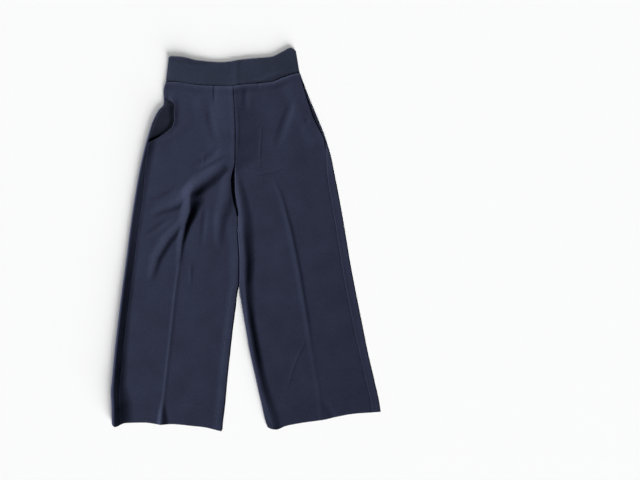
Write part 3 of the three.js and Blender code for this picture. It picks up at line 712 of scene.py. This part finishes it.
@dataclass
class Cloth:
    """A closed sheet of cloth, made from a grid of points on its outer face, and how pressed each point is,
    which sets both its lower roughness and its painted sheen.
    """

    name: str
    grid: Array
    thickness: float
    press: Array
    roundness: float = 0.96

    def faces(self) -> tuple[Array, Array]:
        """Gives the outer and inner faces, whose edges are rounded towards each other.

        Returns:
            The points of both, by column and row.
        """
        across, along = np.gradient(self.grid, axis=0), np.gradient(self.grid, axis=1)
        normal = np.cross(across, along)
        normal /= np.maximum(np.linalg.norm(normal, axis=2, keepdims=True), 1e-9)
        if normal[0, :, 2].mean() < 0:
            normal = -normal
        radius = self.thickness / 2
        inset = np.clip(1 - edge_distance(self.grid) / radius, 0, 1)
        drop = self.roundness * radius * (1 - np.sqrt(1 - inset ** 2))[..., None]
        outer, inner = self.grid - normal * drop, self.grid - normal * (self.thickness - drop)
        lowest = np.array([-np.inf, -np.inf, 0.0])
        return np.maximum(outer, lowest), np.maximum(inner, lowest)

    def build(self) -> bpy.types.Object:
        """Builds the mesh: outer face, inner face and the rims between them.

        Returns:
            The new object, linked to the scene and smooth shaded.
        """
        outer, inner = self.faces()
        columns, rows = self.grid.shape[:2]
        index = np.arange(columns * rows).reshape(columns, rows)
        inner_index = index + columns * rows
        quads = [
            self.strip(index), self.strip(inner_index)[:, ::-1],
            self.rim(index[:, 0], inner_index[:, 0]), self.rim(index[::-1, -1], inner_index[::-1, -1]),
            self.rim(index[0, ::-1], inner_index[0, ::-1]), self.rim(index[-1], inner_index[-1]),
        ]
        points = np.concatenate([outer.reshape(-1, 3), inner.reshape(-1, 3)])
        quads = np.concatenate(quads)
        if self.volume(points, quads) < 0:
            quads = quads[:, ::-1]
        mesh = bpy.data.meshes.new(self.name)
        mesh.from_pydata((points * MM).tolist(), [], quads.tolist())
        mesh.shade_smooth()
        # The press mask, which paints the lighter sheen colour and lowers the roughness in the material
        pressed = mesh.attributes.new("press", "FLOAT", "POINT")
        pressed.data.foreach_set("value", np.tile(self.press.ravel(), 2).astype(np.float32))
        piece = bpy.data.objects.new(self.name, mesh)
        bpy.context.scene.collection.objects.link(piece)
        return piece

    @staticmethod
    def strip(index: Array) -> Array:
        """Gives the quads of a grid of point numbers."""
        corners = index[:-1, :-1], index[:-1, 1:], index[1:, 1:], index[1:, :-1]
        return np.stack([c.ravel() for c in corners], axis=1)

    @staticmethod
    def rim(outer: Array, inner: Array) -> Array:
        """Gives the quads between two lines of point numbers."""
        return np.stack([outer[:-1], outer[1:], inner[1:], inner[:-1]], axis=1)

    @staticmethod
    def volume(points: Array, quads: Array) -> float:
        """Gives the signed volume inside the quads."""
        a, b, c, d = (points[quads[:, i]] for i in range(4))
        return float((np.cross(a, b) * c + np.cross(a, c) * d).sum())


@dataclass
class Panel:
    """What the cloth pieces share: their names, thickness, grid and flat cut."""

    node: str
    slot: Slot
    flat: tuple[float, float]
    area: float
    rests_on: tuple[str, ...]
    thickness: float = SHELL

    @property
    def name(self) -> str:
        """Gives the name of the finished piece."""
        return self.node + "_cloth"

    def grid(self) -> Array:
        """Gives the points of the outer face, by column and row."""
        raise NotImplementedError

    def press(self, grid: Array) -> Array:
        """Gives how strongly each point is pressed, most on edges: the mask for the lower roughness and for
        the painted sheen, a lighter colour that stands in for the shine.
        """
        return near(edge_distance(grid), EDGE_SHINE)

    def build(self, material: bpy.types.Material) -> bpy.types.Object:
        """Builds the piece, dresses it and puts it in the place of its node.

        Args:
            material: The finished material.

        Returns:
            The piece.
        """
        grid = self.grid()
        piece = Cloth(self.name, grid, self.thickness, self.press(grid)).build()
        piece.data.materials.append(material)
        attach(piece, BODY)
        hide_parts(self.node)
        LOG.info("%s: %d faces", self.name, len(piece.data.polygons))
        return piece

    def declare(self, piece: bpy.types.Object) -> None:
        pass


@dataclass
class LegPanel(Panel):
    """A panel of a leg, from the waist seam to the hem.

    Rows are spaced on a nominal length. A few passes from first guesses find where a column meets the seam
    and the hem.
    """

    leg: Leg = field(kw_only=True)
    step: float = 3.0
    edge_rows: tuple[float, ...] = (0.0, 0.12, 0.32, 0.62, 1.2)
    waist_gap: float = SEAM_GAP
    nominal: float = 1000.0
    passes: int = 8
    guesses: tuple[float, float] = (430.0, -500.0)

    def lines(self) -> list[Line]:
        """Gives the panel's columns, as functions of y."""
        raise NotImplementedError

    def face(self, x: Array, y: Array) -> Array:
        """Gives the height of the panel's top face."""
        return self.leg.top(x, y)

    def heights(self, line: Line) -> Array:
        """Follows a column from the waist seam to the hem.

        Args:
            line: The column.

        Returns:
            y of its rows, from the top down.
        """
        top, bottom = (np.array([guess]) for guess in self.guesses)
        for _ in range(self.passes):
            top = WAIST(line(top).x) - self.waist_gap / 2
            bottom = self.leg.hem(line(bottom).x)
        rows = spaced_rows(self.nominal, 0.0, self.edge_rows, self.step)
        return lerp(bottom, top, rows / self.nominal)

    def grid(self) -> Array:
        """Gives the panel's points.

        Returns:
            The points of the outer face, by column and row.
        """
        lines = self.lines()
        y = np.stack([self.heights(line) for line in lines])
        columns = [line(column) for line, column in zip(lines, y)]
        names = ("x", "crown_x", "lean", "radius")
        spots = Spots(*(np.stack([getattr(column, name) for column in columns]) for name in names))
        return np.stack([spots.x, y, spots.height(self.face(spots.crown_x, y))], axis=2)


@dataclass
class FrontPanel(LegPanel):
    """A front panel, with its dart and crease, from the side seam or pocket mouth to the inner seams."""

    columns: int = 96
    tail: tuple[float, ...] = (1, 0.82, 0.64, 0.47, 0.32, 0.19, 0.09, 0.03, 0)
    least_tail: float = 1.6

    def outer_end(self, y: Array) -> Array:
        """Gives x of the side seam, or of the pocket's mouth."""
        leg = self.leg
        return leg.outer(y) + leg.inward * (leg.lap(y) + leg.gape(y) + SEAM_GAP / 2)

    def face(self, x: Array, y: Array) -> Array:
        """Gives the height of the panel's top face, which is lifted along the pocket's mouth."""
        return self.leg.front_top(x, y)

    def roll_point(self, y: Array, share: float) -> Spots:
        """Gives points on the last stretch before the inner seam.

        Args:
            y: Heights along the leg.
            share: Where they lie, from 1 at the start of the stretch to 0 on the seam.

        Returns:
            The points.
        """
        leg = self.leg
        radius, seam_angle, past = leg.inner_edge(y)
        arc = radius * (QUARTER_TURN - seam_angle)
        away = np.maximum(arc, self.least_tail) * share + SEAM_GAP / 2
        angle = np.minimum(seam_angle + away / radius, QUARTER_TURN)
        inset = past + np.maximum(away - arc, 0)
        return rolled(leg.inner(y), leg.inward, radius, angle, away >= arc, inset)

    def lines(self) -> list[Line]:
        """Gives the columns.

        Returns:
            Close ones by the side seam, even ones to the guide and on from it, then the tail's.
        """
        leg = self.leg

        def even_column(y: Array, share: float) -> Spots:
            """Gives a column between the close ones, the guide and the tail's start.

            Args:
                y: Heights along the leg.
                share: Where it lies, from 0 by the side to 1 at the tail.

            Returns:
                The column's points.
            """
            if share < 0.5:
                start = self.outer_end(y) + leg.inward * self.edge_rows[-1]
                return flat_spots(lerp(start, leg.guide(y), 2 * share), 1.0)
            return flat_spots(lerp(leg.guide(y), self.roll_point(y, 1).x, 2 * share - 1), 1.0)

        close = [
            lambda y, d=d: flat_spots(self.outer_end(y) + leg.inward * d, 1.0)
            for d in self.edge_rows[:-1]]
        even = [lambda y, s=s: even_column(y, s) for s in np.linspace(0, 1, self.columns)[:-1]]
        tail = [lambda y, s=s: self.roll_point(y, s) for s in self.tail]
        return [*close, *even, *tail]

    def press(self, grid: Array) -> Array:
        """Presses the crease as well as the edges, so the painted sheen lightens the crease too.

        Args:
            grid: The panel's points.

        Returns:
            How strongly each is pressed.
        """
        column = len(self.edge_rows) - 1 + (self.columns - 1) // 2
        from_crease = np.abs(grid[..., 0] - grid[column][None, :, 0])
        below = np.clip((CREASE_SHINE_TOP - grid[..., 1]) / CREASE_SHINE_FADE, 0, 1)
        return np.maximum(super().press(grid), near(from_crease, CREASE_SHINE) * below)


@dataclass
class BackPanel(LegPanel):
    """A back panel: it lies on the floor, rolls round both sides of the leg and laps onto the top.

    crowding says how much closer together the columns are by the seams, and seat_width how wide the strip
    beside the seat seam is.
    """

    floor_columns: int = 84
    side_columns: int = 26
    inner_columns: int = 22
    step: float = 3.9
    waist_gap: float = SEAT_GAP
    crowding: float = 1.35
    seat_width: float = 16.0

    def outer_point(self, y: Array, share: float) -> Spots:
        """Gives points on the stretch from the side seam, over the rolled edge, to the floor.

        Args:
            y: Heights along the leg.
            share: Where they lie, from 0 on the seam to 1 on the floor.

        Returns:
            The points.
        """
        leg = self.leg
        radius = leg.outer_roll(y) / 2
        flat = leg.lap(y) - SEAM_GAP / 2 - radius
        away = share ** self.crowding * (flat + math.pi * radius)
        return wrapped(leg.outer(y), leg.sign, radius, away, flat)

    def inner_point(self, y: Array, share: float) -> Spots:
        """Gives points on the stretch from the floor to the inseam, or to the seat seam above the legs.

        Args:
            y: Heights along the leg.
            share: Where they lie, from 1 on the floor to 0 on the seam.

        Returns:
            The points.
        """
        leg = self.leg
        radius, seam_angle, past = leg.inner_edge(y)
        past = np.maximum(past - SEAM_GAP / 2, 0)
        turn = seam_angle - SEAM_GAP / 2 / radius
        crowded = share ** self.crowding
        away = crowded * (past + radius * (turn + QUARTER_TURN))
        spots = wrapped(leg.inner(y), leg.inward, radius, away, past, turn)
        seat_x = CROTCH_MIDDLE(y) - leg.inward * (SEAT_GAP / 2 + self.seat_width * crowded)
        seat = y >= ROLL_START
        return Spots(
            np.where(seat, seat_x, spots.x), spots.crown_x, np.where(seat, -1.0, spots.lean), radius)

    def lines(self) -> list[Line]:
        """Gives the columns.

        Returns:
            The columns, from the side seam round to the inseam.
        """
        outer = [lambda y, s=s: self.outer_point(y, s) for s in np.linspace(0, 1, self.side_columns)]
        inner = [lambda y, s=s: self.inner_point(y, s) for s in np.linspace(1, 0, self.inner_columns)]

        def floor_column(y: Array, share: float) -> Spots:
            """Gives a column on the floor."""
            return flat_spots(lerp(outer[-1](y).x, inner[0](y).x, share), -1.0)

        shares = np.linspace(0, 1, self.floor_columns + 2)[1:-1]
        return [*outer, *(lambda y, s=s: floor_column(y, s) for s in shares), *inner]


@dataclass
class PocketFacing(Panel):
    """The facing that shows in a gaping pocket mouth, and runs in under the front panel.

    lean is how much it sinks away from the side seam, and low_lean the same in its low_part. By the edge of
    the mouth it falls to its deepest, over fall_width times fall.
    """

    leg: Leg = field(kw_only=True)
    top: float = 395.0
    bottom: float = 266.0
    under_front: float = 20.0
    columns: int = 34
    step: float = 2.5
    below_roll: float = 0.3
    lean: float = 0.06
    low_lean: float = 0.2
    low_part: float = 0.45
    fall: float = 20.0
    fall_start: float = 0.85
    fall_width: float = 1.15
    deepest: float = 2.5
    uneven: float = 0.18
    uneven_scale: tuple[float, float] = (1.7, 1.4)
    thickness: float = FACING_SHELL
    edge_rows: tuple[float, ...] = (0.0, 0.15, 0.4, 0.8)

    def grid(self) -> Array:
        """Gives the facing's points, which sink from the side seam towards the mouth's edge.

        Returns:
            The points of the outer face, by column and row.
        """
        leg = self.leg
        y = spaced_rows(self.top, self.bottom, self.edge_rows, self.step)
        start, reach = leg.lap(y) + SEAM_GAP / 2, leg.gape(y) + self.under_front
        low = swell((y - self.bottom) / (self.low_part * (self.top - self.bottom)))
        lean = lerp(self.lean, self.low_lean, low)
        grid = []
        for share in np.linspace(0, 1, self.columns):
            across = share * reach
            x = leg.outer(y) + leg.inward * (start + across)
            rim = np.maximum(leg.outer_roll(y) - self.below_roll - lean * across, self.deepest)
            fallen = across - leg.gape(y) + self.fall_start * self.fall
            height = lerp(self.deepest, rim, swell(fallen / (self.fall_width * self.fall)))
            uneven = self.uneven * leg.small(x * self.uneven_scale[0], y * self.uneven_scale[1])
            grid.append(np.stack([x, y, height + uneven], axis=1))
        return np.stack(grid)


@dataclass
class Waistband(Panel):
    """What both layers of the waistband share. A column rises from the waist seam to the top edge."""

    thickness: float = BAND_SHELL
    top: float = 5.2
    lap: float = 4.0
    step: float = 2.6
    edge_rows: tuple[float, ...] = (0.0, 0.15, 0.45, 0.8, 1.4)
    height: float = 66.0
    height_share: float = 1.0
    waist_gap: float = SEAM_GAP
    broad_height: float = 0.28
    small_height: float = 0.1
    pucker_height: float = 0.14
    pucker_reach: float = 10.0
    groove: float = 1.0
    groove_width: float = 2.2
    noises: tuple[tuple[int, float, float], ...] = ((47, 10.0, 22.0), (43, 70.0, 50.0), (44, 22.0, 26.0))

    def __post_init__(self) -> None:
        """Makes the noise of the puckers and of the uneven lie, each from its seed and cell."""
        self.pucker, self.broad, self.small = (Noise(*noise) for noise in self.noises)

    @staticmethod
    def side(sign: int, share: Array) -> Array:
        """Gives x of the band's side at a share of its height: the sides lean in towards the top."""
        low, high = (LOW_LEFT, HIGH_LEFT) if sign > 0 else (LOW_RIGHT, HIGH_RIGHT)
        return lerp(low, high, share)

    def across(self, x: float, share: Array) -> Array:
        """Gives x of a column that starts at x on the waist seam."""
        along = (x - LOW_RIGHT) / (LOW_LEFT - LOW_RIGHT)
        return lerp(self.side(-1, share), self.side(1, share), along)

    def shares(self) -> Array:
        """Gives the rows, as shares of the band's height."""
        rows = spaced_rows(self.height, 0.0, self.edge_rows, self.step)
        return rows[::-1] / self.height * self.height_share

    def heights(self, x: Array, share: Array) -> Array:
        """Gives y of the rows of a column."""
        return lerp(WAIST(x[0]) + self.waist_gap / 2, BAND_TOP_EDGE(x[-1]), share)

    def face(self, x: Array, y: Array) -> Array:
        """Gives the height of the band's top face, with its folds and creases.

        Args:
            x: Where points are across.
            y: Where they are along.

        Returns:
            The height at each.
        """
        above = y - WAIST(x)
        puckers = self.pucker_height * near(above, self.pucker_reach) * self.pucker(x, y)
        uneven = self.broad_height * self.broad(x, y) + self.small_height * self.small(x, y)
        groove = self.groove * near(above, self.groove_width)
        return (
            self.top + blended(BAND_FOLDS, x, y) + added(BAND_CREASES, x, y) + puckers + uneven - groove)

    def on_top(self, x: Array, share: Array) -> Array:
        """Gives a column on the top face."""
        y = self.heights(x, share)
        return np.stack([x, y, self.face(x, y)], axis=1)


@dataclass
class FrontBand(Waistband):
    """The waistband's front, plain and wide."""

    columns: int = 138

    def grid(self) -> Array:
        """Gives the front's points, from side to side.

        Returns:
            The points of the outer face, by column and row.
        """
        share = self.shares()
        inset = self.lap + SEAM_GAP / 2
        edges = np.array(self.edge_rows)
        start, end = LOW_RIGHT + inset, LOW_LEFT - inset
        middle = np.linspace(start + edges[-1], end - edges[-1], self.columns)[1:-1]
        stations = np.concatenate([start + edges, middle, end - edges[::-1]])
        return np.stack([self.on_top(self.across(x, share), share) for x in stations])


@dataclass
class BackBand(Waistband):
    """The waistband's back: it lies on the floor and rolls up round both sides onto the top."""

    height_share: float = 0.98
    waist_gap: float = SEAT_GAP
    side_columns: int = 18
    floor_columns: int = 120
    crowding: float = 1.3

    def side_point(self, sign: int, away_share: float) -> Array:
        """Gives a column of a rolled side.

        Args:
            sign: The side, 1 for the wearer's left.
            away_share: Where it lies, from 0 at the end of the band to 1 on the floor.

        Returns:
            The column's points.
        """
        share = self.shares()
        radius = self.top / 2
        flat = self.lap - SEAM_GAP / 2 - radius
        away = away_share ** self.crowding * (flat + math.pi * radius)
        spots = wrapped(self.side(sign, share), sign, radius, away, flat)
        y = self.heights(spots.x, share)
        return np.stack([spots.x, y, spots.height(self.face(spots.crown_x, y))], axis=1)

    def grid(self) -> Array:
        """Gives the back's points, from the front's right end round to its left end.

        Returns:
            The points of the outer face, by column and row.
        """
        shares = np.linspace(0, 1, self.side_columns)
        right = [self.side_point(-1, share) for share in shares]
        left = [self.side_point(1, share) for share in shares[::-1]]
        floor = []
        for share in np.linspace(0, 1, self.floor_columns + 2)[1:-1]:
            x = lerp(right[-1][:, 0], left[0][:, 0], share)
            y = self.heights(x, self.shares())
            floor.append(np.stack([x, y, np.zeros(y.shape)], axis=1))
        return np.stack([*right, *floor, *left])


Values = dict[int | str, object]


class Nodes:
    """Short calls for adding and joining the nodes of one tree."""

    def __init__(self, tree: bpy.types.NodeTree) -> None:
        """Keeps the tree."""
        self.tree = tree

    @staticmethod
    def put(node: bpy.types.Node, inputs: Values) -> None:
        """Sets a node's inputs, by name or number."""
        for name, value in inputs.items():
            node.inputs[name].default_value = value

    def add(self, kind: str, inputs: Values | None = None, **properties: object) -> bpy.types.Node:
        """Adds a node.

        Args:
            kind: The node's type, without the ShaderNode that it starts with.
            inputs: Values of its inputs.
            **properties: Values of its properties.

        Returns:
            The node.
        """
        node = self.tree.nodes.new("ShaderNode" + kind)
        for name, value in properties.items():
            setattr(node, name, value)
        self.put(node, inputs or {})
        return node

    def join(self, *links: tuple[bpy.types.Node, int | str, bpy.types.Node, int | str]) -> None:
        """Joins outputs to inputs: each link is a node, its output, the next node and its input."""
        for source, out, target, into in links:
            self.tree.links.new(source.outputs[out], target.inputs[into])


class Group(Nodes):
    """A shader node group, with entry and leave for its two ends."""

    def __init__(self, name: str, inputs: dict[str, float | None], outputs: dict[str, str]) -> None:
        """Makes the group with its sockets.

        Args:
            name: The group's name.
            inputs: The usual value of each input, or None for a colour.
            outputs: The type of each output, Float or Color.
        """
        super().__init__(bpy.data.node_groups.new(name, "ShaderNodeTree"))
        for socket, value in inputs.items():
            kind = "NodeSocketColor" if value is None else "NodeSocketFloat"
            made = self.tree.interface.new_socket(name=socket, in_out="INPUT", socket_type=kind)
            if value is not None:
                made.default_value = value
        for socket, kind in outputs.items():
            self.tree.interface.new_socket(name=socket, in_out="OUTPUT", socket_type="NodeSocket" + kind)
        self.entry, self.leave = (self.tree.nodes.new("NodeGroup" + end) for end in ("Input", "Output"))


def crepe_grain() -> bpy.types.NodeTree:
    """Makes the group for the pebbled face of crepe, where twisted yarns leave small uneven grains.

    Returns:
        The group, with inputs Grain and Slub and outputs Height and Mottle.
    """
    group = Group("Crepe grain", {"Grain": 900.0, "Slub": 240.0}, {"Height": "Float", "Mottle": "Float"})
    place = group.add("TexCoord")
    stretch = group.add("Mapping", {"Scale": (1.0, 0.62, 1.0), "Rotation": (0.0, 0.0, math.radians(8))})
    pebble = group.add("TexVoronoi", feature="SMOOTH_F1")
    yarn = group.add("TexNoise", {"Detail": 3.0, "Distortion": 0.7})
    slub = group.add("TexNoise", {"Detail": 2.0})
    mix = group.add("Math", {1: 0.6}, operation="MULTIPLY_ADD")
    group.join((place, "Object", stretch, "Vector"))
    group.join(*((stretch, "Vector", texture, "Vector") for texture in (pebble, yarn, slub)))
    group.join(
        (group.entry, "Grain", pebble, "Scale"), (group.entry, "Grain", yarn, "Scale"),
        (group.entry, "Slub", slub, "Scale"), (pebble, "Distance", mix, 0), (yarn, 0, mix, 2),
        (mix, 0, group.leave, "Height"), (slub, 0, group.leave, "Mottle"))
    return group.tree


def cloth_drift_and_sheen() -> bpy.types.NodeTree:
    """Makes the group for how dyed cloth varies, broad drift and fine mottle, and for the painted sheen:
    pressed edges and creases get a lighter colour that stands in for their shine, and a lower roughness.

    Returns:
        The group, with inputs Dye, Painted sheen dye, Mottle, Press and sheen and Depth, and outputs Colour
        and Roughness.
    """
    group = Group(
        "Cloth drift and painted sheen", {"Dye": None, "Painted sheen dye": None, "Mottle": 0.5, "Press": 0.0, "Depth": 0.2},
        {"Colour": "Color", "Roughness": "Float"})
    entry, leave = group.entry, group.leave
    place = group.add("TexCoord")
    broad = group.add("TexNoise", {"Scale": 16.0, "Detail": 4.0})
    both = group.add("Math", operation="ADD")
    centred = group.add("Math", {1: 1.0}, operation="SUBTRACT")
    change = group.add("Math", {2: 1.0}, operation="MULTIPLY_ADD")
    # Mixes in the lighter colour on pressed places, a painted sheen
    tint = group.add("Mix", data_type="RGBA")
    scaled = group.add("VectorMath", operation="SCALE")
    rough = group.add("Math", {1: -0.12, 2: 0.92}, operation="MULTIPLY_ADD")
    group.join(
        (place, "Object", broad, "Vector"), (broad, 0, both, 0), (entry, "Mottle", both, 1),
        (both, 0, centred, 0), (centred, 0, change, 0), (entry, "Depth", change, 1),
        (entry, "Press", tint, "Factor"), (entry, "Dye", tint, "A"), (entry, "Painted sheen dye", tint, "B"),
        (tint, "Result", scaled, 0), (change, 0, scaled, "Scale"), (scaled, 0, leave, "Colour"),
        (entry, "Press", rough, 0), (rough, 0, leave, "Roughness"))
    return group.tree


@dataclass(frozen=True)
class ClothFinish:
    """A dyed cloth: its dye, the lighter colour painted on pressed places as a sheen, the size of its grain,
    its bump and its sheen.
    """

    name: str
    dye: Triple
    # The lighter colour painted on pressed edges and creases, a painted sheen
    painted_sheen_dye: Triple
    grain: float = 900.0
    slub: float = 240.0
    drift: float = 0.5
    bump: float = 0.5
    bump_depth: float = 0.00022
    specular: float = 0.08
    sheen: float = 0.03
    sheen_roughness: float = 0.45
    sheen_tint: Triple = (0.5, 0.55, 0.75)

    def material(self, grain: bpy.types.NodeTree, drift: bpy.types.NodeTree) -> bpy.types.Material:
        """Builds the material from the shared groups.

        Args:
            grain: The crepe grain group.
            drift: The cloth drift group.

        Returns:
            The material.
        """
        material = bpy.data.materials.new(self.name)
        material.use_nodes = True
        nodes = Nodes(material.node_tree)
        shader = material.node_tree.nodes["Principled BSDF"]
        nodes.put(shader, {
            "Specular IOR Level": self.specular, "Sheen Weight": self.sheen,
            "Sheen Roughness": self.sheen_roughness, "Sheen Tint": (*self.sheen_tint, 1.0),
        })
        face = nodes.add("Group", node_tree=grain)
        nodes.put(face, {"Grain": self.grain, "Slub": self.slub})
        colour = nodes.add("Group", node_tree=drift)
        nodes.put(colour, {
            "Dye": (*self.dye, 1.0), "Painted sheen dye": (*self.painted_sheen_dye, 1.0), "Depth": self.drift})
        # The press mask mixes in the painted sheen colour and lowers the roughness
        press = nodes.add("Attribute", attribute_name="press")
        bump = nodes.add("Bump", {"Strength": self.bump, "Distance": self.bump_depth})
        nodes.join(
            (press, "Fac", colour, "Press"), (face, "Mottle", colour, "Mottle"),
            (face, "Height", bump, "Height"), (colour, "Colour", shader, "Base Color"),
            (colour, "Roughness", shader, "Roughness"), (bump, "Normal", shader, "Normal"))
        return material


# Each finish's second colour is a painted sheen, lighter than its dye, laid on pressed edges and creases
LEG_CREPE = ClothFinish("Navy crepe", (0.0209, 0.0249, 0.0482), (0.0242, 0.0291, 0.0552))
BAND_CREPE = ClothFinish(
    "Navy crepe, faced band", (0.0200, 0.0247, 0.0438), (0.0230, 0.0284, 0.0498), bump=0.4)
# The pocket facing is the navy crepe dyed darker, a painted shade for the shadow inside the gaping pocket
# mouths
SHADED_FACING_CREPE = ClothFinish(
    "Navy crepe, painted pocket shade", (0.0130, 0.0158, 0.0268), (0.0144, 0.0175, 0.0295),
    grain=1100.0, specular=0.06, sheen=0.02)


@dataclass
class Studio:
    """A pale floor, soft lights and the camera, which looks straight down as in the photograph.

    Sizes are in metres. Each floor sun has a name, a direction, a strength and an angle in degrees.
    """

    centre: tuple[float, float] = (0.203, -0.0012)
    frame_width: float = 1.76
    camera_height: float = 2.6
    sensor: float = 36.0
    floor_size: float = 14.0
    floor_drop: float = 0.0006
    key_direction: Triple = (-0.85, 0.38, 0.34)
    key_distance: float = 6.0
    key_size: float = 0.9
    key_power: float = 1090.0
    floor_suns: tuple[tuple[str, Triple, float, float], ...] = (
        ("floor overhead", (0.15, -0.25, 1.0), 1.26, 60.0), ("floor low", (0.45, -0.9, 0.19), 10.4, 40.0))
    sky_light: float = 0.035
    backdrop: float = 0.94
    floor_tone: Triple = (0.9, 0.9, 0.9)
    sky_tone: Triple = (0.9, 0.93, 1.0)

    def collection(self, name: str, members: list[bpy.types.Object]) -> bpy.types.Collection:
        """Makes a collection of the objects that a light reaches.

        Args:
            name: The collection's name.
            members: The objects.

        Returns:
            The collection.
        """
        group = bpy.data.collections.new(name)
        for member in members:
            group.objects.link(member)
        return group

    def floor(self) -> bpy.types.Object:
        """Builds the floor, which isn't part of the trousers.

        Returns:
            The floor.
        """
        half, z = self.floor_size / 2, -self.floor_drop
        corners = [(-half, -half, z), (half, -half, z), (half, half, z), (-half, half, z)]
        mesh = bpy.data.meshes.new("floor")
        mesh.from_pydata(corners, [], [(0, 1, 2, 3)])
        floor = bpy.data.objects.new("floor", mesh)
        bpy.context.scene.collection.objects.link(floor)
        material = bpy.data.materials.new("Pale floor")
        material.use_nodes = True
        Nodes.put(material.node_tree.nodes["Principled BSDF"], {
            "Base Color": (*self.floor_tone, 1.0), "Roughness": 0.9, "Specular IOR Level": 0.1})
        mesh.materials.append(material)
        return floor

    def light(
            self, name: str, kind: str, direction: Triple, energy: float, size: float,
            lit: bpy.types.Collection) -> None:
        """Adds a light that shines from a direction onto some of the objects.

        Args:
            name: Name of the light.
            kind: AREA or SUN.
            direction: Where it stands, seen from the trousers.
            energy: Watts of an area light, or watts per square metre of a sun.
            size: Width in metres of an area light, or angle in degrees of a sun.
            lit: What it lights.
        """
        data = bpy.data.lights.new(name, kind)
        data.energy = energy
        if kind == "SUN":
            data.angle = math.radians(size)
        else:
            data.shape = "DISK"
            data.size = size
        lamp = bpy.data.objects.new(name, data)
        away = Vector(direction).normalized()
        lamp.location = away * self.key_distance
        lamp.rotation_euler = away.to_track_quat("Z", "Y").to_euler()
        bpy.context.scene.collection.objects.link(lamp)
        lamp.light_linking.receiver_collection = lit

    def sky(self) -> None:
        """Sets a weak even light all round, and a pale backdrop for the camera."""
        world = bpy.data.worlds.new("Studio")
        world.use_nodes = True
        nodes = Nodes(world.node_tree)
        background = world.node_tree.nodes["Background"]
        nodes.put(background, {"Color": (*self.sky_tone, 1.0)})
        seen = nodes.add("LightPath")
        strength = nodes.add(
            "Math", {1: self.backdrop - self.sky_light, 2: self.sky_light}, operation="MULTIPLY_ADD")
        nodes.join((seen, "Is Camera Ray", strength, 0), (strength, 0, background, "Strength"))
        bpy.context.scene.world = world

    def camera(self) -> None:
        """Places the camera over the middle of the photograph's frame."""
        data = bpy.data.cameras.new("Camera")
        data.sensor_width = self.sensor
        data.lens = self.sensor * self.camera_height / self.frame_width
        camera = bpy.data.objects.new("Camera", data)
        camera.location = (*self.centre, self.camera_height)
        bpy.context.scene.collection.objects.link(camera)
        bpy.context.scene.camera = camera

    def build(self, cloth: list[bpy.types.Object]) -> None:
        """Builds the stage round the trousers.

        Args:
            cloth: The pieces of the trousers.
        """
        floor = self.floor()
        garment = self.collection("lit garment", cloth)
        ground = self.collection("lit floor", [floor])
        self.light("key", "AREA", self.key_direction, self.key_power, self.key_size, garment)
        for name, direction, energy, angle in self.floor_suns:
            self.light(name, "SUN", direction, energy, angle, ground)
        self.sky()
        self.camera()
        bpy.context.scene.view_settings.view_transform = "Standard"
        LOG.info("floor, lights and camera are in place")


def make_panels() -> list[tuple[Panel, ClothFinish]]:
    """Lists the pieces, with the flat size and area that each was cut to, in metres.

    Returns:
        Each piece and its finish.
    """
    crepe, band, facing = Slot.CREPE, Slot.BAND, Slot.FACING
    backs, floor = ("right_back_cloth", "left_back_cloth"), ("floor",)
    return [
        (BackPanel("right_back", crepe, (0.40, 1.04), 0.31, floor, leg=RIGHT_LEG), LEG_CREPE),
        (BackPanel("left_back", crepe, (0.42, 1.04), 0.31, floor, leg=LEFT_LEG), LEG_CREPE),
        (FrontPanel("right_front", crepe, (0.34, 0.98), 0.245, backs[:1], leg=RIGHT_LEG), LEG_CREPE),
        (FrontPanel("left_front", crepe, (0.36, 0.98), 0.245, backs[1:], leg=LEFT_LEG), LEG_CREPE),
        # The facings wear the darker copy of the crepe, which paints the shade inside the pocket mouths
        (PocketFacing("right_pocket_facing", facing, (0.10, 0.13), 0.0078, backs[:1], leg=RIGHT_LEG),
         SHADED_FACING_CREPE),
        (PocketFacing("left_pocket_facing", facing, (0.05, 0.17), 0.0045, backs[1:], leg=LEFT_LEG,
                      top=430.0, bottom=262.0, columns=18, fall=5.0), SHADED_FACING_CREPE),
        (BackBand("waistband_back", band, (0.38, 0.075), 0.026, floor), BAND_CREPE),
        (FrontBand("waistband_front", band, (0.37, 0.075), 0.0255, ("waistband_back_cloth",)), BAND_CREPE),
    ]


def main() -> None:
    """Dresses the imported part, piece by piece, and sets up the studio."""
    logging.basicConfig(level=logging.INFO, format="%(name)s: %(message)s")
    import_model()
    grain, drift = crepe_grain(), cloth_drift_and_sheen()
    finishes: dict[str, bpy.types.Material] = {}
    pieces = []
    for panel, finish in make_panels():
        if finish.name not in finishes:
            finishes[finish.name] = finish.material(grain, drift)
        pieces.append((panel, panel.build(finishes[finish.name])))
    Studio().build([piece for _, piece in pieces])
    for panel, piece in pieces:
        panel.declare(piece)


if __name__ == "__main__":
    main()
